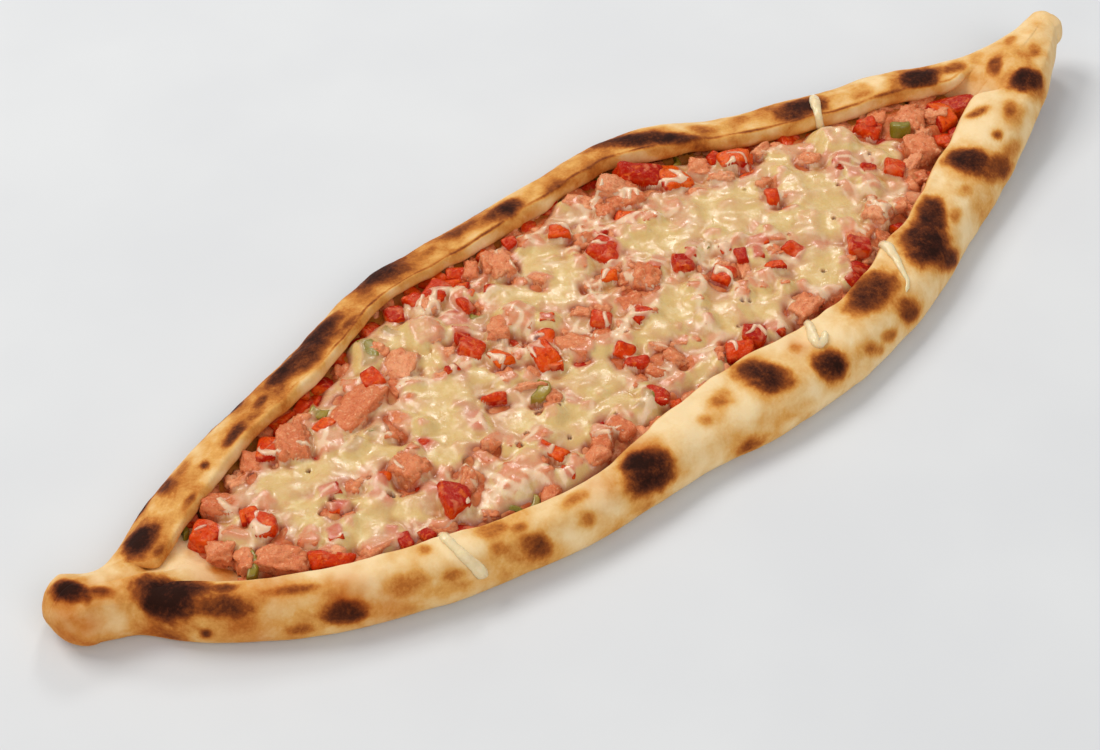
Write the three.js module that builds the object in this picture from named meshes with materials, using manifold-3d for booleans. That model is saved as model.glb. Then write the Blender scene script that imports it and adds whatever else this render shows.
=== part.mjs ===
// Turkish pide: a boat of flatbread with both long edges folded over a bed of
// diced chicken, tomato and pepper under melted cheese.
// Millimetres, +Z up, +X along the boat from its rolled end to its pinched tip,
// +Y towards the leaner side. The base lies flat on Z = 0.
import * as THREE from "three";
import { ParametricGeometry } from "three/addons/geometries/ParametricGeometry.js";
import { mergeVertices } from "three/addons/utils/BufferGeometryUtils.js";
import Module from "manifold-3d";

// ---- driving sizes -------------------------------------------------------
const X_ROLL = -226; // end of the rolled knob
const X_TIP = 226; // end of the pinched tip
const ROLL_CAP = 10; // length over which the knob rounds off
const TIP_CAP = 8; // length over which the tip rounds off
const BASE = 4.5; // thickness of the bread under the filling
const LIP = 5.4; // thickness of the folded edge at its free lip
const OVERHANG = 6; // how far the lip stands out over the filling
const CLOSE = 14; // opening width below which the two folds close up
const SEAM = [0.16, 0.015]; // depth of the seam where the folds meet, as a share of height: knob end, tip end
const CLEAR = 0.35; // gap between neighbouring pieces
const CHEESE = 2.4; // thickness of the melted cheese
const BED_X = [-181, 160]; // ends of the filling
const DOUGH_STATIONS = 50;
const DOUGH_AROUND = 34;
const BED_STATIONS = 27;
const BED_ACROSS = 10;

// Table of offsets. Columns: station X; outer edge Y, fold width and fold height
// on the -Y side; the same on the +Y side; lift of the underside off the table.
const OFFSETS = [
  [-216, -16.5, 11.2, 17.0, 6.5, 11.2, 17.0, 0.8],
  [-206, -20.5, 11.0, 15.8, 2.2, 11.0, 15.4, 0.3],
  [-197, -31.0, 15.0, 16.4, 6.6, 19.0, 14.6, 0.0],
  [-185, -42.0, 15.0, 16.6, 13.5, 20.0, 14.4, 0.0],
  [-165, -55.0, 15.0, 16.4, 24.0, 19.0, 15.0, 0.0],
  [-140, -66.0, 14.5, 16.2, 33.0, 17.0, 15.4, 0.0],
  [-105, -75.5, 14.0, 15.6, 43.5, 18.0, 15.8, 0.0],
  [-70, -80.0, 12.5, 14.8, 56.5, 16.5, 15.6, 0.0],
  [-35, -80.2, 18.5, 15.4, 60.5, 18.0, 15.2, 0.0],
  [0, -83.5, 23.5, 16.2, 61.5, 16.0, 15.6, 0.0],
  [35, -82.5, 21.5, 16.4, 62.5, 15.5, 17.0, 0.0],
  [60, -78.0, 21.0, 16.4, 60.0, 23.0, 18.0, 0.0],
  [85, -70.5, 22.0, 16.6, 47.5, 21.5, 16.0, 0.0],
  [120, -56.5, 22.5, 16.6, 36.5, 21.5, 15.8, 0.2],
  [150, -45.2, 24.5, 16.2, 27.5, 22.0, 15.4, 1.8],
  [170, -36.0, 23.0, 15.4, 15.5, 20.0, 14.8, 4.6],
  [190, -26.8, 17.0, 14.0, 7.4, 17.0, 13.8, 8.2],
  [205, -17.4, 11.5, 12.6, 5.6, 11.5, 12.6, 10.4],
  [218, -8.4, 7.4, 11.4, 6.8, 7.4, 11.4, 12.0],
];

// Toppings that stand out of the cheese: [X, Y, length, width, depth, turn, lean]
const TOMATO = [
  [-62, 3, 10, 9.5, 9, 38, 12],
  [-45, -15, 13, 8, 8.5, 80, -10],
  [5, 12, 13, 12.5, 10, 20, 8],
  [-20, -14, 8, 7.5, 9, 45, 6],
  [-8, -21, 8, 7, 8, 10, -8],
  [20, -11, 8.5, 7.5, 8, 60, 10],
  [27, -24, 8, 7.5, 8, 30, -6],
  [15, -51, 9, 8, 8, 40, 10],
  [-107, -46, 13, 9, 9, 60, 14],
  [-172, -9, 11, 10, 9, 30, 8],
  [-157, -18, 12, 9, 8, 70, -8],
  [55, -29, 8, 8, 8, 15, 10],
  [74, -42, 9, 8, 9, 50, 8],
  [115, -20, 10, 8, 8.5, 35, 12],
  [152, -10, 14, 8.5, 7.5, 65, 4],
  [126, 3, 10, 9, 8.5, 20, 10],
  [50, 28, 16, 12, 9, 75, 8],
  [75, 19, 11, 9, 8.5, 50, -6],
  [-53, 33, 12, 8, 7.5, 30, 6],
  [-145, -39.5, 14, 7.5, 8, 118, 10],
];
const CHICKEN = [
  [-84, 12, 13, 12, 10, 30, 0],
  [-68, 19, 14, 11, 9, 70, 0],
  [-40, 4, 13, 12, 10, 40, 0],
  [-110, -27, 12, 12, 10, 15, 0],
  [-105, 6, 24, 12, 9.5, 20, 0],
  [-131, 5, 16, 11, 9, 55, 0],
  [29, 31, 15, 14, 10.5, 80, 0],
  [6, -8, 10, 10, 9, 25, 0],
  [-84, -50, 18, 11, 9, 10, 0],
  [131, -18, 13, 11, 9.5, 75, 0],
  [141, -4, 12, 11, 9.5, 30, 0],
  [112, 4, 12, 12, 9.5, 60, 0],
  [38, -52, 12, 9, 9, 12, 0],
  [-161, -32, 15, 10, 8.5, 130, 0],
  [92, -34, 12, 9, 9, 20, 0],
  [-28, 29, 13, 9, 8.5, 75, 0],
];
const PEPPER = [
  [-170.5, -22.5, 10, 4.5, 6, 105, 0],
  [-117, -9, 9, 4.5, 6, 20, 0],
  [-57, -29, 9, 4.5, 6, 35, 0],
  [-88, 22.5, 14, 6, 6, 60, 0],
  [-33, -52, 10, 4.5, 6, 30, 0],
];

// ---- helpers -------------------------------------------------------------
const mix = (a, b, t) => a + (b - a) * t;
const step = (a, b, v) => {
  const t = Math.min(1, Math.max(0, (v - a) / (b - a)));
  return t * t * (3 - 2 * t);
};

// Smooth shape-keeping interpolation of one column of the table of offsets.
function column(c) {
  const xs = OFFSETS.map((r) => r[0]);
  const ys = OFFSETS.map((r) => r[c]);
  const n = xs.length;
  const d = xs.slice(1).map((x, i) => (ys[i + 1] - ys[i]) / (x - xs[i]));
  const m = ys.map((_, i) => {
    if (i === 0) return d[0];
    if (i === n - 1) return d[n - 2];
    if (d[i - 1] * d[i] <= 0) return 0;
    const a = xs[i] - xs[i - 1];
    const b = xs[i + 1] - xs[i];
    const w1 = 2 * b + a;
    const w2 = b + 2 * a;
    return (w1 + w2) / (w1 / d[i - 1] + w2 / d[i]);
  });
  return (x) => {
    const q = Math.min(xs[n - 1], Math.max(xs[0], x));
    let i = 0;
    while (i < n - 2 && q > xs[i + 1]) i++;
    const h = xs[i + 1] - xs[i];
    const t = (q - xs[i]) / h;
    const t2 = t * t;
    const t3 = t2 * t;
    return (
      (2 * t3 - 3 * t2 + 1) * ys[i] +
      (t3 - 2 * t2 + t) * h * m[i] +
      (3 * t2 - 2 * t3) * ys[i + 1] +
      (t3 - t2) * h * m[i + 1]
    );
  };
}
const [nearY, nearW, nearH, farY, farW, farH, liftZ] = [1, 2, 3, 4, 5, 6, 7].map(column);

// How far the section has shrunk towards an end: 1 along the body, 0 at the very end.
function taper(x) {
  const a = (X_ROLL + ROLL_CAP - x) / ROLL_CAP;
  const b = (x - X_TIP + TIP_CAP) / TIP_CAP;
  const t = Math.min(1, Math.max(0, a, b));
  return Math.sqrt(1 - t * t);
}

// What one station of the boat measures.
function station(x) {
  const yn = nearY(x);
  const yf = farY(x);
  const half = (yf - yn) / 2;
  const wn = Math.min(nearW(x), half - 0.4);
  const wf = Math.min(farW(x), half - 0.4);
  const gap = yf - yn - nearW(x) - farW(x);
  return { yn, yf, half, wn, wf, hn: nearH(x), hf: farH(x), lift: liftZ(x), open: step(0, CLOSE, gap) };
}

// Control polygon of one side of a section: [distance in from the outer edge, height].
// Where the boat is open the fold ends in a lip over the filling; where it is shut
// the same points run evenly over a dome to the middle, with a seam of the given depth.
function foldPolygon(w, h, half, open, seam) {
  const over = OVERHANG * open;
  const reach = (d) => Math.min(d, half - 0.15);
  const under = h - LIP;
  const lip = [
    [0.2 * w, 0.86 * h],
    [0.55 * w, 1.05 * h],
    [0.9 * w, 1.04 * h],
    [reach(1.06 * w), 0.98 * h],
    [reach(1.05 * w), under],
    [reach(0.82 * w), under - 0.6],
    [reach(w - over), 0.42 * h],
    [reach(w - over + 0.8), BASE],
    [reach(w + 5), BASE],
    [reach(w + 18), BASE],
  ];
  const dome = lip.map((_, k) => {
    const t = mix(0.2, 1, k / (lip.length - 1));
    return [mix(0.02, 0.985, t) * half, h * (1.05 - 0.3 * (1 - t) ** 2 - seam * step(0.62, 1, t))];
  });
  return [
    [reach(w + 16), 0],
    [reach(Math.min(9, 0.75 * half)), 0],
    [2.4, 0],
    [-0.9, 2.2],
    [-0.2, 0.5 * h],
    ...lip.map(([d, z], k) => [mix(dome[k][0], d, open), mix(dome[k][1], z, open)]),
  ];
}

// Closed section of the boat at station x, as points [y, z] on a smooth curve.
function sectionAt(x) {
  const s = station(x);
  const seam = mix(SEAM[0], SEAM[1], step(-150, 150, x));
  const near = foldPolygon(s.wn, s.hn, s.half, s.open, 0.25 * seam).map(([d, z]) => [s.yn + d, z]);
  const far = foldPolygon(s.wf, s.hf, s.half, s.open, seam).map(([d, z]) => [s.yf - d, z]);
  const ring = near.concat(far.reverse());
  const k = taper(x);
  const cy = (s.yn + s.yf) / 2;
  const cz = 0.46 * Math.max(s.hn, s.hf);
  return ring.map(([y, z]) => [cy + (y - cy) * k, s.lift + cz + (z - cz) * k]);
}

// Uniform cubic B-spline round a closed ring, t from 0 to 1.
function onRing(ring, t) {
  const n = ring.length;
  const q = (((t % 1) + 1) % 1) * n;
  const i = Math.floor(q);
  const f = q - i;
  const b = [(1 - f) ** 3, 3 * f ** 3 - 6 * f * f + 4, -3 * f ** 3 + 3 * f * f + 3 * f + 1, f ** 3];
  const p = [0, 0];
  for (let k = 0; k < 4; k++) {
    const c = ring[(i + k - 1 + n) % n];
    p[0] += (b[k] * c[0]) / 6;
    p[1] += (b[k] * c[1]) / 6;
  }
  return p;
}

// One closed surface: seams merged, collapsed faces dropped, faces pointing out.
function closed(geometry) {
  const g = geometry.clone();
  g.deleteAttribute("normal");
  g.deleteAttribute("uv");
  const m = mergeVertices(g, 1e-4);
  const a = m.index.array;
  const keep = [];
  for (let i = 0; i < a.length; i += 3)
    if (a[i] !== a[i + 1] && a[i + 1] !== a[i + 2] && a[i] !== a[i + 2]) keep.push(a[i], a[i + 1], a[i + 2]);
  const p = m.attributes.position;
  const v = [new THREE.Vector3(), new THREE.Vector3(), new THREE.Vector3()];
  let volume = 0;
  for (let i = 0; i < keep.length; i += 3) {
    for (let k = 0; k < 3; k++) v[k].fromBufferAttribute(p, keep[i + k]);
    volume += v[0].dot(v[1].clone().cross(v[2]));
  }
  if (volume < 0) for (let i = 0; i < keep.length; i += 3) [keep[i + 1], keep[i + 2]] = [keep[i + 2], keep[i + 1]];
  m.setIndex(keep);
  m.computeVertexNormals();
  return m;
}

// Stations along the boat, closer together towards both ends.
function along(v) {
  const e = v - 0.055 * Math.sin(2 * Math.PI * v) * 1.6;
  return mix(X_ROLL, X_TIP, e);
}

// ---- bread ---------------------------------------------------------------
const breadGeometry = closed(
  new ParametricGeometry(
    (u, v, out) => {
      const x = along(v);
      const [y, z] = onRing(sectionAt(x), u);
      out.set(x, y, z);
    },
    DOUGH_AROUND,
    DOUGH_STATIONS,
  ),
);

// ---- filling bed and cheese ---------------------------------------------
// Unevenness of the heaped bed.
const lumps = (x, y) =>
  0.7 * Math.sin(0.19 * x + 0.11 * y) * Math.cos(0.23 * y - 0.05 * x) +
  0.5 * Math.sin(0.37 * x - 0.29 * y + 1.3) +
  0.35 * Math.cos(0.53 * y + 0.31 * x);

// A point of the bed's top: station x, share a from the -Y wall to the +Y wall.
function bedTop(x, a) {
  const s = station(x);
  const y0 = s.yn + s.wn - OVERHANG * s.open + 2.8;
  const y1 = s.yf - s.wf + OVERHANG * s.open - 2.8;
  const y = mix(y0, y1, a);
  const free = Math.min(y - (s.yn + s.wn * 1.05), s.yf - s.wf * 1.05 - y); // distance inside the lips
  const rise = step(0.2, 9, free);
  const ends = step(BED_X[0] - 2, BED_X[0] + 14, x) * step(BED_X[1] + 2, BED_X[1] - 14, x);
  const z = 7.4 + (4.2 + lumps(x, y)) * rise * mix(0.35, 1, ends) + 1.2 * step(9, 34, free);
  return [y, z + s.lift];
}

const bedX = (i) => mix(BED_X[0], BED_X[1], i / BED_STATIONS);
const bedShare = (j) => j / BED_ACROSS;

// Bed: a closed tube of sections, ending in a point at each end.
const bedRing = (x) => {
  const ring = [];
  for (let j = 0; j <= BED_ACROSS; j++) ring.push(bedTop(x, bedShare(j)));
  const s = station(x);
  const [y0] = ring[0];
  const [y1] = ring[BED_ACROSS];
  for (const a of [1, 0.5, 0]) ring.push([mix(y0 + 1.2, y1 - 1.2, a), BASE + 0.8 + s.lift]);
  return ring;
};
function tube(ringAt, stations, poles) {
  const rows = stations.length;
  const n = ringAt(stations[0]).length;
  return closed(
    new ParametricGeometry(
      (u, v, out) => {
        const i = Math.round(v * (rows + 1)) - 1;
        if (i < 0) out.set(...poles[0]);
        else if (i >= rows) out.set(...poles[1]);
        else {
          const p = ringAt(stations[i])[Math.round(u * n) % n];
          out.set(stations[i], p[0], p[1]);
        }
      },
      n,
      rows + 1,
    ),
  );
}
const bedRows = Array.from({ length: BED_STATIONS + 1 }, (_, i) => bedX(i));
const poleAt = (x, z) => [x, bedTop(x, 0.5)[0], z + station(x).lift];
const bedGeometry = tube(bedRing, bedRows, [poleAt(BED_X[0] - 4, 7), poleAt(BED_X[1] + 3, 7)]);

// Cheese: lies on the bed's own facets, CLEAR above them, thinner towards its edge.
const cheeseRing = (x) => {
  const top = [];
  const low = [];
  const ends = step(BED_X[0], BED_X[0] + 40, x) * step(BED_X[1], BED_X[1] - 40, x);
  for (let j = 2; j <= BED_ACROSS - 2; j++) {
    const [y, z] = bedTop(x, bedShare(j));
    const mid = 1 - Math.abs(bedShare(j) - 0.5) / 0.5;
    const t = CHEESE * mix(0.45, 1, Math.sqrt(mid)) * mix(0.6, 1, ends) + 0.35 * Math.sin(0.61 * x + 0.43 * y);
    low.push([y, z + CLEAR]);
    top.push([y, z + CLEAR + t]);
  }
  return low.concat(top.reverse());
};
const cheeseRows = bedRows.slice(2, -2);
const cheesePole = (x) => poleAt(x, bedTop(x, 0.5)[1] - station(x).lift + 2.4);
const cheeseGeometry = tube(cheeseRing, cheeseRows, [cheesePole(bedRows[1]), cheesePole(bedRows[BED_STATIONS - 1])]);

// ---- toppings ------------------------------------------------------------
// How each kind is shaped: k rounds it, ragged makes it uneven, bend curves it,
// sunk says how far it stands above the cheese.
const FORM = {
  tomato: { k: 0.12, ragged: 0.03, bend: 0, sunk: 1.6 },
  chicken: { k: 0.45, ragged: 0.08, bend: 0, sunk: 1.9 },
  pepper: { k: 0.25, ragged: 0.02, bend: 1.6, sunk: 0.9 },
};
const ROWS = { tomato: TOMATO, chicken: CHICKEN, pepper: PEPPER };

// Where a topping lies: turned, leaning, its top standing out of the cheese.
function placing(x, y, d, turn, lean, sunk) {
  const r = THREE.MathUtils.degToRad;
  const m = new THREE.Matrix4().makeRotationFromEuler(new THREE.Euler(r(lean), r(lean * 0.6), r(turn), "ZXY"));
  return m.setPosition(x, y, shareTop(x, y) + CHEESE + sunk - d / 2);
}
function lump([x, y, l, w, d, turn, lean], i, { k, ragged, bend, sunk }) {
  const g = new THREE.BoxGeometry(l, w, d, 2, 2, 2);
  const p = g.attributes.position;
  const q = new THREE.Vector3();
  for (let n = 0; n < p.count; n++) {
    q.fromBufferAttribute(p, n);
    const unit = q.clone().divide(new THREE.Vector3(l / 2, w / 2, d / 2));
    const shrink = mix(1, 1 / unit.length(), k);
    const wave = 1 + ragged * Math.sin(2.1 * unit.x + 3.3 * unit.y * (1 + (i % 3)) + 1.7 * unit.z + 1.9 * i);
    unit.multiplyScalar(shrink * wave);
    q.set((unit.x * l) / 2, (unit.y * w) / 2 + bend * unit.x * unit.x, (unit.z * d) / 2);
    p.setXYZ(n, q.x, q.y, q.z);
  }
  return closed(g.applyMatrix4(placing(x, y, d, turn, lean, sunk)));
}
// Height of the bed at any place in plan.
function shareTop(x, y) {
  const a0 = bedTop(x, 0)[0];
  const a1 = bedTop(x, 1)[0];
  return bedTop(x, Math.min(1, Math.max(0, (y - a0) / (a1 - a0))))[1];
}

const toppings = Object.entries(ROWS).flatMap(([kind, rows]) =>
  rows.map((row, i) => [kind, i, lump(row, i, FORM[kind])]),
);

// ---- pockets -------------------------------------------------------------
const wasm = await Module();
wasm.setup();
const toSolid = (g) =>
  new wasm.Manifold(
    new wasm.Mesh({
      numProp: 3,
      vertProperties: new Float32Array(g.attributes.position.array),
      triVerts: new Uint32Array(g.index.array),
    }),
  );
const fromSolid = (s) => {
  const m = s.getMesh();
  const v = new Float32Array(m.numVert * 3);
  for (let i = 0; i < m.numVert; i++) v.set(m.vertProperties.subarray(i * m.numProp, i * m.numProp + 3), i * 3);
  const g = new THREE.BufferGeometry();
  g.setAttribute("position", new THREE.BufferAttribute(v, 3));
  g.setIndex(new THREE.BufferAttribute(new Uint32Array(m.triVerts), 1));
  g.computeVertexNormals();
  return g;
};
// The plain block, a little larger than the lump, that makes the pocket it sits in.
const pocket = ([kind, i]) => {
  const [x, y, l, w, d, turn, lean] = ROWS[kind][i];
  const { ragged, bend, sunk } = FORM[kind];
  const grow = (e) => e * (1 + 1.6 * ragged) + 2.6 * CLEAR;
  const g = new THREE.BoxGeometry(grow(l), grow(w) + Math.abs(bend), grow(d)).translate(0, bend / 2, 0);
  return toSolid(closed(g.applyMatrix4(placing(x, y, d, turn, lean, sunk))));
};
const pockets = toppings.map(pocket);
const cut = (g) => {
  let s = toSolid(g);
  for (const p of pockets) s = s.subtract(p);
  const bodies = s.decompose().sort((a, b) => b.volume() - a.volume());
  return fromSolid(bodies[0]);
};

// ---- scene graph ---------------------------------------------------------
const finish = (colour, roughness) => new THREE.MeshStandardMaterial({ color: colour, roughness, metalness: 0 });
const CRUST = finish(0xe0be8a, 0.72);
const BED = finish(0xb5552b, 0.5);
const MELT = finish(0xe4c68f, 0.32);
const KINDS = {
  tomato: finish(0xc8451c, 0.28),
  chicken: finish(0xd78658, 0.6),
  pepper: finish(0x8f7a24, 0.35),
};

const pide = new THREE.Group();
pide.name = "pide";
const add = (name, geometry, material) => {
  const mesh = new THREE.Mesh(geometry, material);
  mesh.name = name;
  pide.add(mesh);
};
add("bread", breadGeometry, CRUST);
add("filling_bed", cut(bedGeometry), BED);
add("melted_cheese", cut(cheeseGeometry), MELT);
for (const [kind, i, g] of toppings) add(`${kind}_${String(i + 1).padStart(2, "0")}`, g, KINDS[kind]);

// Origin at the middle of the bread's box, on the table.
breadGeometry.computeBoundingBox();
const box = breadGeometry.boundingBox;
pide.children.forEach((m) => m.position.set(-(box.min.x + box.max.x) / 2, -(box.min.y + box.max.y) / 2, -box.min.z));

export default pide;
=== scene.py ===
import math
import bpy
import numpy as np
from mathutils import Matrix, Vector
from mathutils.bvhtree import BVHTree


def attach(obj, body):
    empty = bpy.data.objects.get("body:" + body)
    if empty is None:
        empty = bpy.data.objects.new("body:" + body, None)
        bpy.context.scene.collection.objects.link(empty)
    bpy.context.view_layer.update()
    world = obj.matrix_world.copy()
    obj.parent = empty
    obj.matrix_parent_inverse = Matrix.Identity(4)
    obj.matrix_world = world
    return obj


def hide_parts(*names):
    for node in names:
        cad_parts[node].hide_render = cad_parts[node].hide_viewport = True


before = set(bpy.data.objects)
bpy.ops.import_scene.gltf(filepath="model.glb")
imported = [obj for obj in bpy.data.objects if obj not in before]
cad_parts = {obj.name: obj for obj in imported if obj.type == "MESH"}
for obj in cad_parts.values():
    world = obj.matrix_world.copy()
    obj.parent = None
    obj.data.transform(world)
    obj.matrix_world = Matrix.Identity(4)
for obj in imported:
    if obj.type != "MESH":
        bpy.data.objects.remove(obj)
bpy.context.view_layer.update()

MM = 0.001
SHIFT = np.array([0.0, 10.4914, 0.0])  # from the offsets' own frame to the row frame, mm
rng = np.random.default_rng(20261)

# ------------------------------------------------------------------ camera
CAM_POS = np.array([-373.215, -408.462, 496.779])
CAM_FWD = np.array([0.46417, 0.55242, -0.69237])
CAM_RIGHT = np.array([0.76561, -0.64331, 0.0])
CAM_UP = np.array([0.44541, 0.53008, 0.72154])
FOCAL = 2150.0  # pixels, on an image 1100 wide and 750 high

cam_data = bpy.data.cameras.new("camera")
cam_data.sensor_width = 36.0
cam_data.sensor_fit = "HORIZONTAL"
cam_data.lens = FOCAL / 1100.0 * 36.0
cam_data.clip_start = 0.01
cam = bpy.data.objects.new("camera", cam_data)
bpy.context.scene.collection.objects.link(cam)
m = Matrix.Identity(4)
for r in range(3):
    m[r][0], m[r][1], m[r][2] = CAM_RIGHT[r], CAM_UP[r], -CAM_FWD[r]
    m[r][3] = (CAM_POS[r] + SHIFT[r]) * MM
cam.matrix_world = m
bpy.context.scene.camera = cam


def ray(px, py):
    """Direction from the camera through a point of the picture."""
    d = CAM_FWD + CAM_RIGHT * (px - 550.0) / FOCAL - CAM_UP * (py - 375.0) / FOCAL
    return d / np.linalg.norm(d)


# ------------------------------------------------------------------ noise
_perm = np.random.default_rng(5).permutation(256)
_perm = np.concatenate([_perm, _perm, _perm])
_grad = np.random.default_rng(6).normal(size=(256, 3))
_grad /= np.linalg.norm(_grad, axis=1)[:, None]


def pn(p, scale=1.0, seed=0.0):
    """Gradient noise, about -0.7 to 0.7, at points p in mm."""
    q = np.asarray(p, float) / np.asarray(scale, float) + seed * 17.31
    i = np.floor(q).astype(np.int64)
    f = q - i
    u = f * f * f * (f * (f * 6 - 15) + 10)
    out = np.zeros(len(q))
    for dx in (0, 1):
        wx = u[:, 0] if dx else 1 - u[:, 0]
        a = _perm[(i[:, 0] + dx) & 255]
        for dy in (0, 1):
            wy = u[:, 1] if dy else 1 - u[:, 1]
            b = _perm[a + ((i[:, 1] + dy) & 255)]
            for dz in (0, 1):
                wz = u[:, 2] if dz else 1 - u[:, 2]
                g = _grad[_perm[b + ((i[:, 2] + dz) & 255)]]
                d = g[:, 0] * (f[:, 0] - dx) + g[:, 1] * (f[:, 1] - dy) + g[:, 2] * (f[:, 2] - dz)
                out += wx * wy * wz * d
    return out


def sstep(a, b, v):
    t = np.clip((np.asarray(v, float) - a) / (b - a), 0, 1)
    return t * t * (3 - 2 * t)


def mix(a, b, t):
    return a + (b - a) * t


def lin(r, g, b):
    """sRGB 0-255 to linear."""
    c = np.array([r, g, b], float) / 255.0
    return np.where(c <= 0.04045, c / 12.92, ((c + 0.055) / 1.055) ** 2.4)


# ------------------------------------------------------------------ boat sections
X_ROLL, X_TIP, ROLL_CAP, TIP_CAP = -226.0, 226.0, 10.0, 8.0
BASE, OVERHANG, CLOSE = 4.5, 6.0, 14.0
SEAM = (0.05, 0.0)
CLEAR, CHEESE = 0.35, 2.4
BED_X = (-181.0, 160.0)
OFFSETS = np.array([
    [-216, -16.5, 11.2, 17.0, 6.5, 11.2, 17.0, 0.8],
    [-206, -20.5, 11.0, 15.8, 2.2, 11.0, 15.4, 0.3],
    [-197, -31.0, 15.0, 16.4, 6.6, 19.0, 14.6, 0.0],
    [-185, -42.0, 15.0, 16.6, 13.5, 20.0, 14.4, 0.0],
    [-165, -55.0, 15.0, 16.4, 24.0, 19.0, 15.0, 0.0],
    [-140, -66.0, 14.5, 16.2, 33.0, 17.0, 15.4, 0.0],
    [-105, -75.5, 14.0, 15.6, 43.5, 18.0, 15.8, 0.0],
    [-70, -80.0, 12.5, 14.8, 56.5, 16.5, 15.6, 0.0],
    [-35, -80.2, 18.5, 15.4, 60.5, 18.0, 15.2, 0.0],
    [0, -83.5, 23.5, 16.2, 61.5, 16.0, 15.6, 0.0],
    [35, -82.5, 21.5, 16.4, 62.5, 15.5, 17.0, 0.0],
    [60, -78.0, 21.0, 16.4, 60.0, 23.0, 18.0, 0.0],
    [85, -70.5, 22.0, 16.6, 47.5, 21.5, 16.0, 0.0],
    [120, -56.5, 22.5, 16.6, 36.5, 21.5, 15.8, 0.2],
    [150, -45.2, 24.5, 16.2, 27.5, 22.0, 15.4, 1.8],
    [170, -36.0, 23.0, 15.4, 15.5, 20.0, 14.8, 4.6],
    [190, -26.8, 17.0, 14.0, 7.4, 17.0, 13.8, 8.2],
    [205, -17.4, 11.5, 12.6, 5.6, 11.5, 12.6, 10.4],
    [218, -8.4, 7.4, 11.4, 6.8, 7.4, 11.4, 12.0],
], float)


def column(c):
    xs, ys = OFFSETS[:, 0], OFFSETS[:, c]
    h = np.diff(xs)
    d = np.diff(ys) / h
    m_ = np.zeros(len(xs))
    m_[0], m_[-1] = d[0], d[-1]
    for i in range(1, len(xs) - 1):
        if d[i - 1] * d[i] > 0:
            w1, w2 = 2 * h[i] + h[i - 1], h[i] + 2 * h[i - 1]
            m_[i] = (w1 + w2) / (w1 / d[i - 1] + w2 / d[i])

    def at(x):
        q = np.clip(np.asarray(x, float), xs[0], xs[-1])
        i = np.clip(np.searchsorted(xs, q, side="right") - 1, 0, len(xs) - 2)
        t = (q - xs[i]) / h[i]
        t2, t3 = t * t, t * t * t
        return (2 * t3 - 3 * t2 + 1) * ys[i] + (t3 - 2 * t2 + t) * h[i] * m_[i] + (3 * t2 - 2 * t3) * ys[i + 1] + (t3 - t2) * h[i] * m_[i + 1]

    return at


near_y, near_w, near_h, far_y, far_w, far_h, lift_z = [column(c) for c in range(1, 8)]


def station(x):
    x = np.asarray(x, float)
    yn, yf = near_y(x), far_y(x)
    half = (yf - yn) / 2
    gap = yf - yn - near_w(x) - far_w(x)
    return dict(yn=yn, yf=yf, half=half, wn=np.minimum(near_w(x), half - 0.4), wf=np.minimum(far_w(x), half - 0.4),
                hn=near_h(x), hf=far_h(x), lift=lift_z(x), open=sstep(0, CLOSE, gap), gap=gap)


def fold_polygon(w, h, half, opened, seam, gap, x, lip_t, crisp):
    over = OVERHANG * opened
    # at the knob end the bread slopes up out of the filling to the corner of the folds
    floor = mix(0.9 * h, BASE, np.where(x < 0, sstep(4, 56, gap), 1.0))
    reach = lambda d: np.minimum(d, half - 0.15)
    under = h - lip_t
    z0 = np.zeros_like(w)
    lip = [
        (0.2 * w, 0.86 * h),
        (0.55 * w, mix(1.05, 1.02, crisp) * h),
        (0.9 * w, mix(1.04, 0.99, crisp) * h),
        (reach(mix(1.06, 1.0, crisp) * w), mix(0.98, 1.08, crisp) * h),
        (reach(mix(1.05, 1.12, crisp) * w), under),
        (reach(0.82 * w), under - 0.6),
        (reach(w - over), np.maximum(0.42 * h, np.minimum(floor, under - 1.2))),
        (reach(w - over + 0.8), np.minimum(floor, under - 0.8)),
        (reach(w + 5), floor),
        (reach(w + 18), floor),
    ]
    pts = [(reach(w + 16), z0), (reach(np.minimum(9, 0.75 * half)), z0), (z0 + 2.4, z0), (z0 - 0.9, z0 + 2.2), (z0 - 0.2, 0.5 * h)]
    for k, (d, z) in enumerate(lip):
        t = mix(0.2, 1.0, k / (len(lip) - 1))
        dd = mix(0.02, 0.985, t) * half
        dz = h * (1.05 - 0.3 * (1 - t) ** 2 - seam * sstep(0.62, 1, t))
        pts.append((mix(dd, d, opened), mix(dz, z, opened)))
    return np.stack([np.stack(q, -1) for q in pts], 1)  # stations, points, 2


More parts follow.
